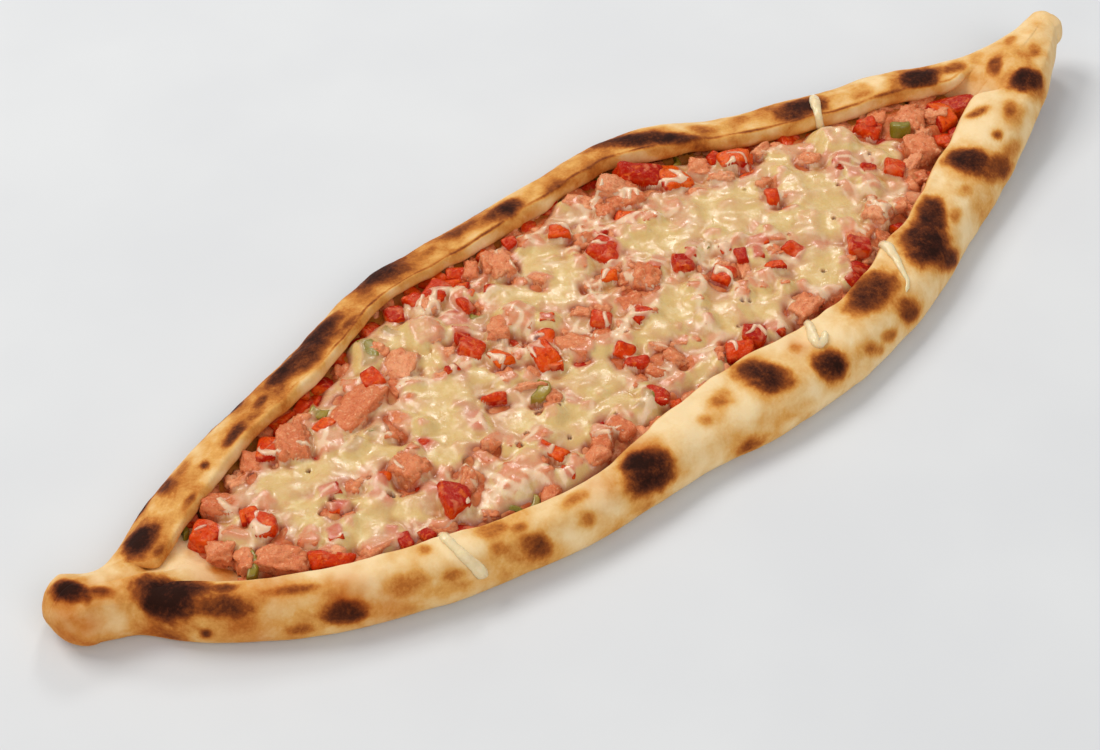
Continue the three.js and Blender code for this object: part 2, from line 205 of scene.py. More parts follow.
def boat(xs, qs):
    """Points of the boat's surface at stations xs and ring parameters qs (0 to 30)."""
    s = station(xs)
    seam = mix(SEAM[0], SEAM[1], sstep(-150, 150, xs))
    a = fold_polygon(s["wn"], s["hn"], s["half"], s["open"], 0.25 * seam, s["gap"], xs, 4.0, mix(0.65, 0.25, sstep(110, 145, xs)))
    b = fold_polygon(s["wf"], s["hf"], s["half"], s["open"], seam, s["gap"], xs, mix(3.8, 5.8, sstep(-70, 10, xs)), mix(0.3, 1.0, sstep(-182, -140, xs)) * mix(1.0, 0.5, sstep(125, 150, xs)))
    a[:, :, 0] = s["yn"][:, None] + a[:, :, 0]
    b[:, :, 0] = s["yf"][:, None] - b[:, :, 0]
    ring = np.concatenate([a, b[:, ::-1]], 1)
    ta = (X_ROLL + ROLL_CAP - xs) / ROLL_CAP
    tb = (xs - X_TIP + TIP_CAP) / TIP_CAP
    k = np.sqrt(1 - np.clip(np.maximum(ta, tb), 0, 1) ** 2)[:, None]
    cy = ((s["yn"] + s["yf"]) / 2)[:, None]
    cz = (0.46 * np.maximum(s["hn"], s["hf"]))[:, None]
    ring[:, :, 0] = cy + (ring[:, :, 0] - cy) * k
    ring[:, :, 1] = s["lift"][:, None] + cz + (ring[:, :, 1] - cz) * k
    n = ring.shape[1]
    i = np.floor(qs).astype(int)
    f = qs - i
    w = [(1 - f) ** 3 / 6, (3 * f ** 3 - 6 * f * f + 4) / 6, (-3 * f ** 3 + 3 * f * f + 3 * f + 1) / 6, f ** 3 / 6]
    out = np.zeros((len(xs), len(qs), 3))
    out[:, :, 0] = xs[:, None]
    for j in range(4):
        out[:, :, 1:] += ring[:, (i + j - 1) % n] * w[j][None, :, None]
    return out


def bed_top(x, y):
    """Height of the filling bed in plan."""
    s = station(x)
    free = np.minimum(y - (s["yn"] + s["wn"] * 1.05), s["yf"] - s["wf"] * 1.05 - y)
    lumps = (0.7 * np.sin(0.19 * x + 0.11 * y) * np.cos(0.23 * y - 0.05 * x)
             + 0.5 * np.sin(0.37 * x - 0.29 * y + 1.3) + 0.35 * np.cos(0.53 * y + 0.31 * x))
    ends = sstep(BED_X[0] - 2, BED_X[0] + 14, x) * (1 - sstep(BED_X[1] - 14, BED_X[1] + 2, x))
    return 7.4 + (4.2 + lumps) * sstep(0.2, 9, free) * mix(0.35, 1, ends) + 1.2 * sstep(9, 34, free) + s["lift"], free


# ------------------------------------------------------------------ mesh helpers
def make_mesh(name, verts_mm, faces, smooth=True):
    me = bpy.data.meshes.new(name)
    v = (np.asarray(verts_mm, float) + SHIFT) * MM
    faces = np.asarray(faces, np.int32)
    me.vertices.add(len(v))
    me.vertices.foreach_set("co", v.ravel())
    n = faces.shape[1]
    me.loops.add(faces.size)
    me.loops.foreach_set("vertex_index", faces.ravel())
    me.polygons.add(len(faces))
    me.polygons.foreach_set("loop_start", np.arange(0, faces.size, n, dtype=np.int32))
    me.polygons.foreach_set("loop_total", np.full(len(faces), n, np.int32))
    me.update(calc_edges=True)
    me.validate()
    me.polygons.foreach_set("use_smooth", np.full(len(me.polygons), smooth))
    ob = bpy.data.objects.new(name, me)
    bpy.context.scene.collection.objects.link(ob)
    return ob


def scalar(ob, name, values):
    a = ob.data.attributes.new(name, "FLOAT", "POINT")
    a.data.foreach_set("value", np.asarray(values, np.float32))


def colour(ob, name, rgb):
    a = ob.data.attributes.new(name, "FLOAT_COLOR", "POINT")
    rgba = np.ones((len(rgb), 4), np.float32)
    rgba[:, :3] = rgb
    a.data.foreach_set("color", rgba.ravel())


def grid_faces(nu, nv, wrap_v=False):
    i = np.arange(nu - 1)[:, None]
    j = np.arange(nv if wrap_v else nv - 1)[None, :]
    j2 = (j + 1) % nv
    f = np.stack([i * nv + j, (i + 1) * nv + j, (i + 1) * nv + j2, i * nv + j2], -1)
    return f.reshape(-1, 4)


def grid_normals(p, wrap=True):
    du = np.gradient(p, axis=0)
    if wrap:
        dv = np.roll(p, -1, 1) - np.roll(p, 1, 1)
    else:
        dv = np.gradient(p, axis=1)
    n = np.cross(du, dv)
    n /= np.maximum(np.linalg.norm(n, axis=2, keepdims=True), 1e-9)
    return n


# ------------------------------------------------------------------ bread
NV = 540
v = np.linspace(0, 1, NV)
xs = mix(X_ROLL, X_TIP, v - 0.088 * np.sin(2 * np.pi * v))
xs[0] += 1e-3
xs[-1] -= 1e-3
qs = np.concatenate([np.linspace(1.5, 11.5, 74, endpoint=False), np.linspace(11.5, 18.5, 16, endpoint=False),
                     np.linspace(18.5, 28.5, 74, endpoint=False), np.linspace(28.5, 31.5, 8, endpoint=False)])
qs = qs % 30.0
P = boat(xs, qs)
# the free lips wander and lift a little along their length
along = np.stack([xs, np.zeros(NV), np.zeros(NV)], 1)
opened = station(xs)["open"]
ring_q = np.where(qs < 15, qs, 29.0 - qs)
for of_far, amount in ((False, 0.9), (True, 1.0)):
    at_lip = np.exp(-((ring_q - 8.3) / 1.5) ** 2) * ((qs >= 15) == of_far)
    wander = amount * (1.9 * pn(along, 30, 71 + of_far) + 1.0 * pn(along, 11, 73 + of_far) + 0.4 * pn(along, 5, 79 + of_far)) * opened
    raise_ = amount * (1.6 * pn(along, 26, 75 + of_far) + 0.9 * pn(along, 9, 77 + of_far)) * opened
    P[:, :, 1] += wander[:, None] * at_lip[None, :]
    P[:, :, 2] += raise_[:, None] * at_lip[None, :]
N = grid_normals(P)
if (N[NV // 2, 20] * (P[NV // 2, 20] - np.array([0, 0, 4]))).sum() < 0:
    N = -N
flat = P.reshape(-1, 3)
nrm = N.reshape(-1, 3)
q_all = np.tile(qs, NV)
side_q = np.where(q_all < 15, q_all, 29.0 - q_all)  # 0..15 from the outer edge in, on either side
open_all = np.repeat(opened, len(qs))
skin = sstep(1.6, 3.2, side_q) * (1 - sstep(11.5, 13, side_q) * open_all)  # 0 under the base and on the floor
near_side = q_all < 15

body = 0.95 * pn(flat, 30, 1) + 0.5 * pn(flat, 12, 2) + 0.2 * pn(flat, 5.0, 3) + 0.07 * pn(flat, 2.2, 4)
wrinkle = np.where(near_side, 0.35, 0.75) * pn(flat, (34, 7, 9), 5) + np.where(near_side, 0.0, 0.45) * pn(flat, (24, 3.6, 4.5), 7)
disp = (body + wrinkle) * skin + 0.25 * pn(flat, 6, 6) * (1 - skin) * sstep(10, 12, side_q)
base_surface = flat + nrm * disp[:, None]
quads = grid_faces(NV, len(qs), True)

# scorch marks: picture point, half sizes across and down, turn in degrees, how dark (1 black)
SPOTS = [
    # fold on the viewer's side, from the knob to the tip
    (68, 589, 20, 9, -18, 1.0), (100, 592, 16, 8, 5, 0.50), (166, 596, 32, 25, 4, 1.05), (196, 588, 26, 10, 8, 0.50), (222, 607, 36, 14, 4, 0.55),
    (222, 588, 16, 5, -4, 0.66), (206, 634, 7, 5, 0, 0.46), (345, 612, 27, 14, -8, 0.78), (405, 585, 28, 15, -14, 0.36), (292, 590, 30, 6, -6, 0.42),
    (490, 530, 18, 9, -12, 0.36), (520, 527, 9, 6, 0, 0.30), (537, 546, 17, 15, -10, 0.42, 0.45), (500, 548, 12, 8, 0, 0.22), (425, 550, 9, 6, 0, 0.34),
    (588, 519, 13, 11, -25, 0.34), (577, 497, 15, 8, -25, 0.34), (650, 472, 31, 25, -30, 0.98), (636, 462, 18, 13, -30, 1.0), (720, 398, 15, 9, -30, 0.36),
    (765, 375, 32, 16, 14, 0.96), (832, 365, 20, 17, 20, 0.98), (752, 445, 20, 8, -32, 0.42), (722, 400, 15, 7, -10, 0.30), (870, 292, 30, 20, -28, 0.82),
    (910, 310, 15, 16, -30, 0.60), (926, 243, 29, 25, 20, 0.92, 0.34), (932, 219, 17, 25, 0, 0.84, 0.3), (946, 257, 19, 14, 20, 0.74, 0.26), (970, 160, 25, 14, 8, 0.98),
    (996, 168, 22, 16, 10, 0.58), (965, 191, 9, 7, 0, 0.26), (998, 135, 7, 6, 0, 0.52), (1026, 80, 18, 13, 0, 0.92), (995, 65, 9, 11, 20, 0.58),
    (978, 112, 15, 5, -25, 0.52), (875, 350, 12, 8, 0, 0.36), (795, 348, 8, 5, 0, 0.34), (1010, 110, 8, 12, 20, 0.32), (1012, 150, 10, 14, 10, 0.34),
    (955, 215, 8, 10, 0, 0.36), (820, 420, 14, 8, -30, 0.34), (890, 335, 10, 7, -30, 0.36), (600, 545, 14, 6, -24, 0.30), (300, 630, 20, 6, -4, 0.28),
    (455, 575, 16, 6, -14, 0.30), (705, 420, 10, 7, 0, 0.30), (1035, 50, 9, 7, 30, 0.28), (1010, 40, 8, 5, -20, 0.28),
    (385, 610, 40, 14, -10, 0.20), (442, 590, 30, 10, -14, 0.16), (985, 208, 14, 22, 20, 0.18), (222, 572, 15, 8, 20, 0.30), (190, 553, 12, 6, 25, 0.26),
    (1016, 118, 10, 18, 10, 0.18), (792, 412, 26, 9, -30, 0.18), (860, 352, 20, 10, -30, 0.16), (700, 480, 22, 8, -30, 0.14),
    # far fold
    (140, 540, 22, 13, -48, 1.05), (158, 550, 11, 6, -48, 0.32), (165, 485, 14, 8, -50, 0.55), (205, 465, 5, 4, 0, 0.6), (235, 435, 18, 6, -48, 0.72),
    (308, 348, 50, 8, -40, 0.82), (280, 374, 22, 6, -42, 0.78), (350, 322, 14, 5, -40, 0.45), (380, 272, 32, 10, -26, 0.86), (455, 232, 22, 5, -25, 0.46),
    (505, 210, 23, 9, -25, 0.74), (645, 139, 60, 8, -4, 0.86), (690, 145, 20, 6, 10, 0.7), (803, 107, 30, 9, -18, 0.8), (920, 78, 22, 11, -8, 1.0),
    (955, 67, 13, 6, -16, 0.42), (560, 188, 18, 5, -28, 0.5), (740, 140, 18, 5, -8, 0.45), (860, 95, 14, 4, -12, 0.2), (430, 250, 12, 4, -30, 0.22),
    (190, 500, 12, 5, -48, 0.42), (260, 402, 12, 5, -45, 0.5), (975, 58, 10, 6, -20, 0.24), (340, 300, 14, 5, -38, 0.6), (181, 470, 15, 7, -50, 0.29), (255, 414, 15, 6, -45, 0.28), (702, 129, 18, 5, 0, 0.31),
    # faces that the picture doesn't show: their marks on the outside of the far fold are the random hidden_spots
    # below
]
bread_bvh = BVHTree.FromPolygons([Vector(p) for p in base_surface], [tuple(map(int, f)) for f in quads])


def on_bread(px, py):
    hit, n, idx, dist = bread_bvh.ray_cast(Vector(CAM_POS), Vector(ray(px, py)))
    return (None, None) if hit is None else (np.array(hit), np.array(n))


def tangent_axis(c, n, px, py, dx, dy):
    """Where a step in the picture lands on the plane that touches the bread at c."""
    d = ray(px + dx, py + dy)
    t = ((c - CAM_POS) @ n) / (d @ n)
    return CAM_POS + d * t - c


scorch = np.zeros(len(base_surface))
blister = np.zeros(len(base_surface))
wob = 0.30 * pn(base_surface, 7, 11) + 0.22 * pn(base_surface, 3.2, 12) + 0.12 * pn(base_surface, 1.5, 13)
hidden_spots = []
for k in range(26):
    x = rng.uniform(-195, 195)
    s = station(np.array([x]))
    hidden_spots.append((np.array([x, s["yf"][0] + 0.3, s["lift"][0] + rng.uniform(3, 9)]), np.array([0, 1, 0.1]), rng.uniform(5, 13), rng.uniform(2.5, 5), rng.choice([0.45, 0.6, 0.9, 1.0])))


def stamp(c, n, A, B, peak, inner=0.26):
    global scorch, blister
    g = np.array([[A @ A, A @ B], [A @ B, B @ B]])
    gi = np.linalg.inv(g)
    d = base_surface - c
    da, db = d @ A, d @ B
    u = gi[0, 0] * da + gi[0, 1] * db
    w = gi[1, 0] * da + gi[1, 1] * db
    h = d @ n
    r = np.sqrt(u * u + w * w + (h / 9.0) ** 2)
    facing = sstep(-0.45, 0.05, nrm @ n)
    r = r * (1 + 0.75 * wob) + 0.10 * wob
    core_ = 1 - sstep(inner, 1.42 - 0.25 * (inner - 0.26), r)
    halo = 0.22 * (1 - sstep(0.7, 2.0, r))
    soft = peak * np.maximum(core_, halo) * facing
    scorch = np.maximum(scorch, soft) + 0.18 * np.minimum(scorch, soft)
    if peak > 0.7:
        blister = np.maximum(blister, (1 - sstep(0.0, 1.3, r)) * facing * min(1.0, np.sqrt(np.linalg.norm(A) * np.linalg.norm(B)) / 6))


for px, py, a, b, turn, peak, *inner in SPOTS:
    c, n = on_bread(px, py)
    if c is None:
        continue
    t = math.radians(turn)
    if abs(n @ ray(px, py)) < 0.25:  # grazing: keep the mark's size on the surface sensible
        n = n - ray(px, py) * 0.35
        n = n / np.linalg.norm(n)
    A = tangent_axis(c, n, px, py, a * math.cos(t), a * math.sin(t))
    B = tangent_axis(c, n, px, py, -b * math.sin(t), b * math.cos(t))
    stamp(c, n, A, B, peak, *inner)
for c, n, a, b, peak in hidden_spots:
    n = n / np.linalg.norm(n)
    A = np.array([1.0, 0, 0]) * a
    B = np.cross(n, A / a) * b
    stamp(c, n, A, B, peak)

# the underside has browned patches from the oven floor
under = (1 - sstep(1.2, 2.4, side_q)) * sstep(0.25, 0.75, -nrm[:, 2])
scorch = np.maximum(scorch, under * (0.34 + 0.55 * sstep(0.02, 0.5, pn(base_surface, 16, 21)) + 0.2 * pn(base_surface, 5, 22)))
# a thin toasted line along the free lips
face_q = sstep(7.55, 8.05, side_q + 0.35 * pn(base_surface, (9, 5, 5), 80)) * (1 - near_side) * open_all  # the far fold's face above the filling
scorch = scorch * (1 - 0.72 * face_q)
lip_line = np.exp(-((side_q - np.where(near_side, 8.6, 7.45)) / np.where(near_side, 0.5, 0.30)) ** 2) * open_all * np.where(near_side, 1.0, sstep(-150, -80, base_surface[:, 0]))
scorch = np.maximum(scorch, lip_line * (np.where(near_side, 0.40, 0.34) + 0.5 * pn(base_surface, (14, 6, 6), 23)))
scorch = scorch + 0.10 * face_q * sstep(0.0, 0.5, pn(base_surface, (12, 5, 5), 81))
mottle = 0.34 * pn(base_surface, 26, 24) + 0.26 * pn(base_surface, 11, 27) + 0.16 * pn(base_surface, 5, 28)
toward_tip = sstep(-95, -45, base_surface[:, 0]) * near_side
baked = mix(mix(0.10, 0.02, sstep(-100, 100, base_surface[:, 0])), np.where(near_side, mix(0.06, 0.0, toward_tip), 0.14), open_all) + mix(mix(1.0, 0.8, sstep(-100, 100, base_surface[:, 0])), mix(1.0, 0.72, toward_tip), open_all) * mottle
scorch = scorch + np.clip(baked, 0, 0.34) * skin * (1 - 0.7 * scorch)
freckle = sstep(0.42, 0.62, pn(base_surface, 3.4, 29)) * sstep(-0.1, 0.35, pn(base_surface, 20, 30))
scorch = scorch + 0.22 * freckle * skin
# golden low on the viewer's side and round the knob, browner along the far fold
low_face = 1 - sstep(3.0, 11.0, base_surface[:, 2])
scorch = scorch + mix(0.06, 0.03, toward_tip) * low_face * near_side * skin + 0.10 * (1 - sstep(-205, -165, base_surface[:, 0])) * skin * mix(0.35, 1.0, low_face) + 0.04 * (1 - near_side) * skin * open_all + 0.07 * sstep(150, 200, base_surface[:, 0]) * skin
scorch = np.clip(scorch, 0, 1.15)
oil = np.where(near_side, sstep(8.2, 9.6, side_q), sstep(8.3, 9.4, side_q)) * open_all * (np.where(near_side, 0.55, 0.7) + 0.6 * pn(base_surface, 9, 25)) * (1 - 0.85 * (1 - sstep(-178, -155, base_surface[:, 0])))
oil = np.maximum(oil, sstep(7.0, 9.0, side_q) * open_all * sstep(0.12, 0.42, pn(base_surface, (16, 9, 9), 26)) * 0.7)
for px, py, rad, amt in [(222, 573, 8, 1.1), (270, 588, 7, 0.6), (346, 592, 7, 0.9), (640, 448, 6, 0.6), (798, 346, 4, 0.8), (600, 486, 6, 0.6),
                         (74, 626, 11, 0.8), (250, 638, 10, 0.55), (382, 611, 9, 0.6), (150, 632, 12, 0.4), (98, 596, 9, 0.4)]:
    c, _ = on_bread(px, py)
    if c is not None:
        oil = np.maximum(oil, amt * (1 + 0.8 * pn(base_surface, 5, 82)) * np.exp(-((base_surface - c) ** 2).sum(1) / rad ** 2))
oil = np.clip(oil, 0, 1)

final = base_surface + nrm * (0.55 * blister + 0.25 * blister * pn(base_surface, 3.0, 31))[:, None]
bread = make_mesh("bread_crust", final, quads)
scalar(bread, "scorch", scorch)
scalar(bread, "oil", oil)
scalar(bread, "blister", blister)

bread_bvh = BVHTree.FromPolygons([Vector(p) for p in final], [tuple(map(int, f)) for f in quads])

# ------------------------------------------------------------------ toppings
TOMATO = [
    (-62, 3, 10, 9.5, 9, 38, 12), (-45, -15, 13, 8, 8.5, 80, -10), (5, 12, 13, 12.5, 10, 20, 8), (-20, -14, 8, 7.5, 9, 45, 6), (-8, -21, 8, 7, 8, 10, -8),
    (20, -11, 8.5, 7.5, 8, 60, 10), (27, -24, 8, 7.5, 8, 30, -6), (15, -51, 9, 8, 8, 40, 10), (-107, -46, 13, 9, 9, 60, 14), (-173, -8, 9.8, 8.8, 8.5, 30, 8),
    (-157.5, -17, 10.6, 8, 7.6, 70, -8), (55, -29, 8, 8, 8, 15, 10), (74, -42, 9, 8, 9, 50, 8), (115, -20, 10, 8, 8.5, 35, 12), (152, -10, 14, 8.5, 7.5, 65, 4),
    (126, 3, 10, 9, 8.5, 20, 10), (50, 28, 16, 12, 9, 75, 8), (75, 19, 11, 9, 8.5, 50, -6), (-53, 33, 12, 8, 7.5, 30, 6), (-150, -41.5, 14, 6.5, 8, -38, 10),
]
CHICKEN = [
    (-84, 12, 13, 12, 10, 30, 0), (-68, 19, 14, 11, 9, 70, 0), (-40, 4, 13, 12, 10, 40, 0), (-110, -27, 12, 12, 10, 15, 0), (-105, 6, 24, 12, 9.5, 20, 0),
    (-131, 5, 16, 11, 9, 55, 0), (29, 31, 15, 14, 10.5, 80, 0), (6, -8, 10, 10, 9, 25, 0), (-84, -50, 18, 11, 9, 10, 0), (131, -18, 13, 11, 9.5, 75, 0),
    (141, -4, 12, 11, 9.5, 30, 0), (112, 4, 12, 12, 9.5, 60, 0), (38, -52, 12, 9, 9, 12, 0), (-161, -32, 15, 10, 8.5, 130, 0), (92, -34, 12, 9, 9, 20, 0),
    (-28, 29, 13, 9, 8.5, 75, 0),
]
PEPPER = [(-168.5, -27.5, 12, 3.2, 6, 62, 0), (-117, -9, 9, 4.5, 6, 20, 0), (-57, -29, 9, 4.5, 6, 35, 0), (-88, 22.5, 14, 6, 6, 60, 0), (-33, -52, 10, 4.5, 6, 30, 0)]
SUNK = dict(tomato=1.1, chicken=1.6, pepper=0.8)


def unit_block(n):
    """A cube's surface from -1 to 1, n cells along each edge, with its vertices shared."""
    verts, index, faces = [], {}, []

    def at(p):
        key = tuple(np.round(p, 6))
        if key not in index:
            index[key] = len(verts)
            verts.append(p)
        return index[key]

    t = np.linspace(-1, 1, n + 1)
    for axis in range(3):
        for sign in (-1, 1):
            for i in range(n):
                for j in range(n):
                    c = []
                    for a, b in ((i, j), (i + 1, j), (i + 1, j + 1), (i, j + 1)):
                        p = [0, 0, 0]
                        p[axis] = sign
                        p[(axis + 1) % 3] = t[a]
                        p[(axis + 2) % 3] = t[b]
                        c.append(at(tuple(p)))
                    faces.append(c if sign > 0 else c[::-1])
    return np.array(verts, float), np.array(faces)


BLOCK = {n: unit_block(n) for n in (5, 6, 7, 8, 9, 10, 12)}


def turn_matrix(turn, lean, lean2):
    a, b, c = math.radians(turn), math.radians(lean), math.radians(lean2)
    rz = np.array([[math.cos(a), -math.sin(a), 0], [math.sin(a), math.cos(a), 0], [0, 0, 1]])
    rx = np.array([[1, 0, 0], [0, math.cos(b), -math.sin(b)], [0, math.sin(b), math.cos(b)]])
    ry = np.array([[math.cos(c), 0, math.sin(c)], [0, 1, 0], [-math.sin(c), 0, math.cos(c)]])
    return rz @ rx @ ry


def piece(kind, row, seed, detail=8):
    """One topping: vertices in mm, faces, and the attributes its material reads."""
    x, y, l, w, d, turn, lean = row[:7]
    u, f = BLOCK[detail]
    u = u.copy()
    r = np.random.default_rng(1000 + seed)
    size = np.array([l, w, d]) / 2
    if kind == "tomato":
        rnd = (np.abs(u) ** 7.5).sum(1) ** (1 / 7.5)
        p = u / rnd[:, None]
        p = p * (1 + 0.19 * np.stack([pn(u + seed * 4.3, 1.6, seed + k) for k in (0.4, 0.5, 0.6)], 1))
        corner = np.clip(u @ r.choice([-1.0, 1.0], 3) - 1.7, 0, 2)
        p = p * (1 - 0.22 * r.uniform(0, 1) * corner)[:, None]
        p = p * (1 + 0.06 * np.stack([pn(u * 3, 3.0, seed + k) for k in (0.1, 0.2, 0.3)], 1))
        p[:, 0] *= 1 + 0.16 * r.uniform(-1, 1) * p[:, 1]
        p[:, 1] *= 1 + 0.16 * r.uniform(-1, 1) * p[:, 0]
        p = p * size
        p[:, 2] += 0.12 * d * (p[:, 0] / size[0]) ** 2 * r.uniform(-1, 0.4)
        p += 0.6 * np.stack([pn(p + seed * 9, 3.4, k) for k in (1, 2, 3)], 1)
        face = r.integers(0, 3)
        skin_side = sstep(0.80, 0.95, u[:, 1] * (1 if face else -1)) if face < 2 else sstep(0.8, 0.95, u[:, 2])
        a = np.stack([skin_side, np.full(len(u), r.uniform(0, 1)), pn(p + seed * 7, 2.0, 4)], 1)
    elif kind == "chicken":
        rnd = (np.abs(u) ** 4.6).sum(1) ** (1 / 4.6)
        p = u / rnd[:, None]
        p = p * (1 + 0.16 * pn(u + seed * 3.1, 1.2, 1) + 0.14 * pn(u + seed * 5.7, 0.6, 2))[:, None]
        p[:, 0] *= 1 + 0.22 * r.uniform(-1, 1) * p[:, 1]
        p[:, 2] += 0.18 * r.uniform(-1, 1) * p[:, 0] + 0.18 * r.uniform(-1, 1) * p[:, 1]
        p = p * size
        dirn = p / np.maximum(np.linalg.norm(p, axis=1), 1e-6)[:, None]
        rough = 1.3 * pn(p + seed * 11, (4.2, 2.4, 2.4), 3) + 0.9 * pn(p + seed * 13, 1.7, 4)
        crack = sstep(0.10, 0.0, np.abs(pn(p + seed * 19, (6.0, 2.6, 3.0), 5)))  # fibres part along lines
        p = p + dirn * (rough - 0.8 * crack)[:, None]
        a = np.stack([pn(p + seed * 5, (4, 1.4, 1.4), 6), np.full(len(u), r.uniform(0, 1)), pn(p + seed * 7, 3.0, 7)], 1)
    else:
        rnd = (np.abs(u) ** 6).sum(1) ** (1 / 6)
        p = u / rnd[:, None]
        p = p * size
        p[:, 1] += 1.6 * (p[:, 0] / size[0]) ** 2
        p += 0.3 * np.stack([pn(p + seed * 9, 2.6, k) for k in (1, 2, 3)], 1)
        a = np.stack([sstep(0.6, 0.95, u[:, 1]), np.full(len(u), r.uniform(0, 1)), pn(p + seed * 7, 2.2, 4)], 1)
    R = turn_matrix(turn, lean, row[7] if len(row) > 7 else lean * 0.6)
    bed, _ = bed_top(np.array([x]), np.array([y]))
    top = row[8] if len(row) > 8 else CHEESE + SUNK[kind]
    p = p @ R.T + np.array([x, y, bed[0] + top - d / 2])
    return p, f, a


# how far each large piece stands bare of cheese, in the tables' order
BARE_T = [1, 1, 1, 1, 0.95, 1, 0.9, 1, 1, 1, 0.9, 0.95, 0.95, 1, 1, 1, 1, 1, 0.95, 1]
BARE_C = [0.9, 0.72, 0.6, 0.9, 1, 0.95, 0.9, 0.9, 0.7, 1, 1, 0.3, 0.85, 0.95, 0.85, 0.9]
BARE_P = [1, 0.5, 0.82, 0.5, 0.2]
# further pieces that show: kind, picture point, size across and down in the picture, extra turn, how bare
SEEN = [
    ("c", 220, 496, 34, 20, 0, 0.9), ("t", 268, 442, 20, 24, 0, 1), ("c", 251, 453, 20, 22, 10, 0.85), ("c", 234, 468, 18, 20, 30, 0.85), ("t", 250, 508, 16, 14, 20, 0.5),
    ("c", 220, 543, 24, 15, 0, 0.9), ("t", 955, 103, 46, 20, 8, 1, 13.6), ("t", 640, 170, 46, 20, 0, 1, 15.5), ("t", 735, 155, 30, 18, 10, 1, 15.5), ("c", 612, 182, 30, 24, 0, 0.95, 16.5), ("t", 560, 228, 20, 14, 0, 1, 15.2), ("c", 245, 553, 16, 20, 20, 0.85), ("t", 278, 574, 20, 12, 0, 1), ("c", 308, 530, 18, 22, 0, 0.6), ("c", 332, 545, 22, 12, 0, 0.8),
    ("c", 300, 552, 24, 16, 10, 0.9), ("c", 322, 562, 20, 14, 0, 0.9), ("t", 372, 374, 17, 18, 30, 1), ("c", 352, 378, 20, 16, 0, 0.7), ("c", 392, 432, 11, 9, 0, 0.8),
    ("c", 425, 421, 10, 7, 0, 0.6), ("c", 413, 446, 12, 8, 0, 0.6), ("c", 467, 472, 13, 22, 10, 0.8), ("t", 500, 354, 15, 20, 40, 0.9), ("t", 452, 367, 12, 10, 30, 0.9),
    ("t", 494, 394, 22, 10, 10, 0.85), ("t", 472, 519, 34, 12, -6, 1), ("t", 452, 527, 16, 11, 0, 0.6), ("t", 406, 531, 10, 16, 20, 0.75), ("c", 348, 515, 10, 16, 10, 0.6),
    ("c", 490, 503, 14, 9, 0, 0.7), ("c", 492, 256, 20, 22, 20, 0.95), ("c", 470, 262, 13, 18, 0, 0.9), ("t", 463, 280, 11, 9, 0, 0.75), ("t", 470, 288, 8, 10, 0, 0.7),
    ("t", 491, 284, 13, 9, 10, 0.65), ("c", 530, 236, 24, 18, 20, 0.6), ("c", 499, 325, 18, 24, 0, 0.8), ("p", 478, 311, 16, 8, 0, 0.3), ("t", 557, 361, 11, 11, 0, 0.85),
    ("c", 531, 384, 30, 10, 0, 0.8), ("c", 553, 394, 15, 18, 20, 0.8), ("c", 551, 409, 14, 16, 0, 0.6), ("t", 547, 316, 14, 11, 0, 0.7), ("c", 600, 297, 22, 22, 10, 0.55),
    ("c", 581, 258, 13, 20, 0, 0.6), ("t", 552, 446, 28, 12, -32, 0.85), ("t", 568, 464, 13, 12, 0, 0.6), ("c", 602, 430, 19, 24, 0, 0.9), ("c", 540, 468, 26, 14, 0, 0.75),
    ("c", 700, 158, 22, 18, 0, 0.9), ("t", 748, 153, 10, 13, 0, 1), ("c", 672, 199, 20, 20, 0, 0.35), ("c", 712, 227, 19, 11, 0, 0.6), ("t", 725, 243, 11, 11, 20, 0.8),
    ("t", 692, 250, 11, 13, 0, 0.55), ("c", 650, 308, 15, 11, 0, 0.7), ("t", 742, 251, 11, 18, 10, 0.8), ("t", 758, 249, 11, 18, 0, 0.75), ("c", 742, 285, 15, 18, 0, 0.75),
    ("c", 698, 295, 11, 9, 0, 0.6), ("t", 708, 315, 10, 13, 10, 0.75), ("c", 696, 330, 9, 9, 0, 0.6), ("t", 637, 357, 23, 13, 0, 0.8), ("c", 719, 347, 8, 14, 10, 0.7),
    ("t", 656, 387, 26, 17, -10, 0.9), ("c", 809, 152, 25, 14, 0, 0.8), ("t", 772, 194, 13, 17, 10, 0.85), ("t", 791, 203, 17, 8, 15, 0.7), ("c", 783, 165, 10, 8, 0, 0.6),
    ("c", 768, 225, 9, 11, 0, 0.5), ("t", 775, 262, 20, 9, 10, 0.8), ("c", 765, 280, 9, 7, 0, 0.7), ("c", 785, 278, 9, 7, 0, 0.7), ("c", 795, 329, 13, 14, 20, 0.8),
    ("c", 873, 246, 17, 16, 0, 0.8), ("c", 886, 227, 20, 16, 10, 0.9), ("c", 872, 196, 11, 9, 0, 0.8), ("c", 870, 176, 18, 20, 0, 0.4), ("p", 901, 126, 20, 10, 0, 0.9),
    ("c", 936, 110, 27, 16, 0, 1), ("t", 945, 131, 17, 15, 0, 1), ("t", 932, 165, 14, 16, 20, 1), ("c", 922, 166, 16, 16, 0, 0.95), ("c", 912, 211, 10, 13, 0, 0.85),
    ("t", 395, 305, 18, 18, 20, 1), ("t", 415, 292, 18, 16, 50, 1), ("t", 455, 262, 18, 14, 0, 1), ("c", 430, 300, 20, 16, 30, 0.95), ("p", 392, 327, 26, 12, -30, 0.55),
    ("c", 377, 346, 18, 16, -30, 0.9), ("c", 722, 172, 26, 12, 0, 0.9), ("c", 640, 225, 16, 12, 0, 0.4), ("p", 318, 405, 18, 10, -20, 0.35), ("c", 440, 372, 14, 12, 0, 0.4),
    ("c", 650, 212, 18, 14, 0, 0.7), ("c", 606, 205, 18, 16, 0, 0.85), ("t", 610, 272, 16, 12, 0, 1), ("c", 880, 240, 14, 12, 0, 0.8), ("t", 868, 118, 18, 14, 20, 1),
]


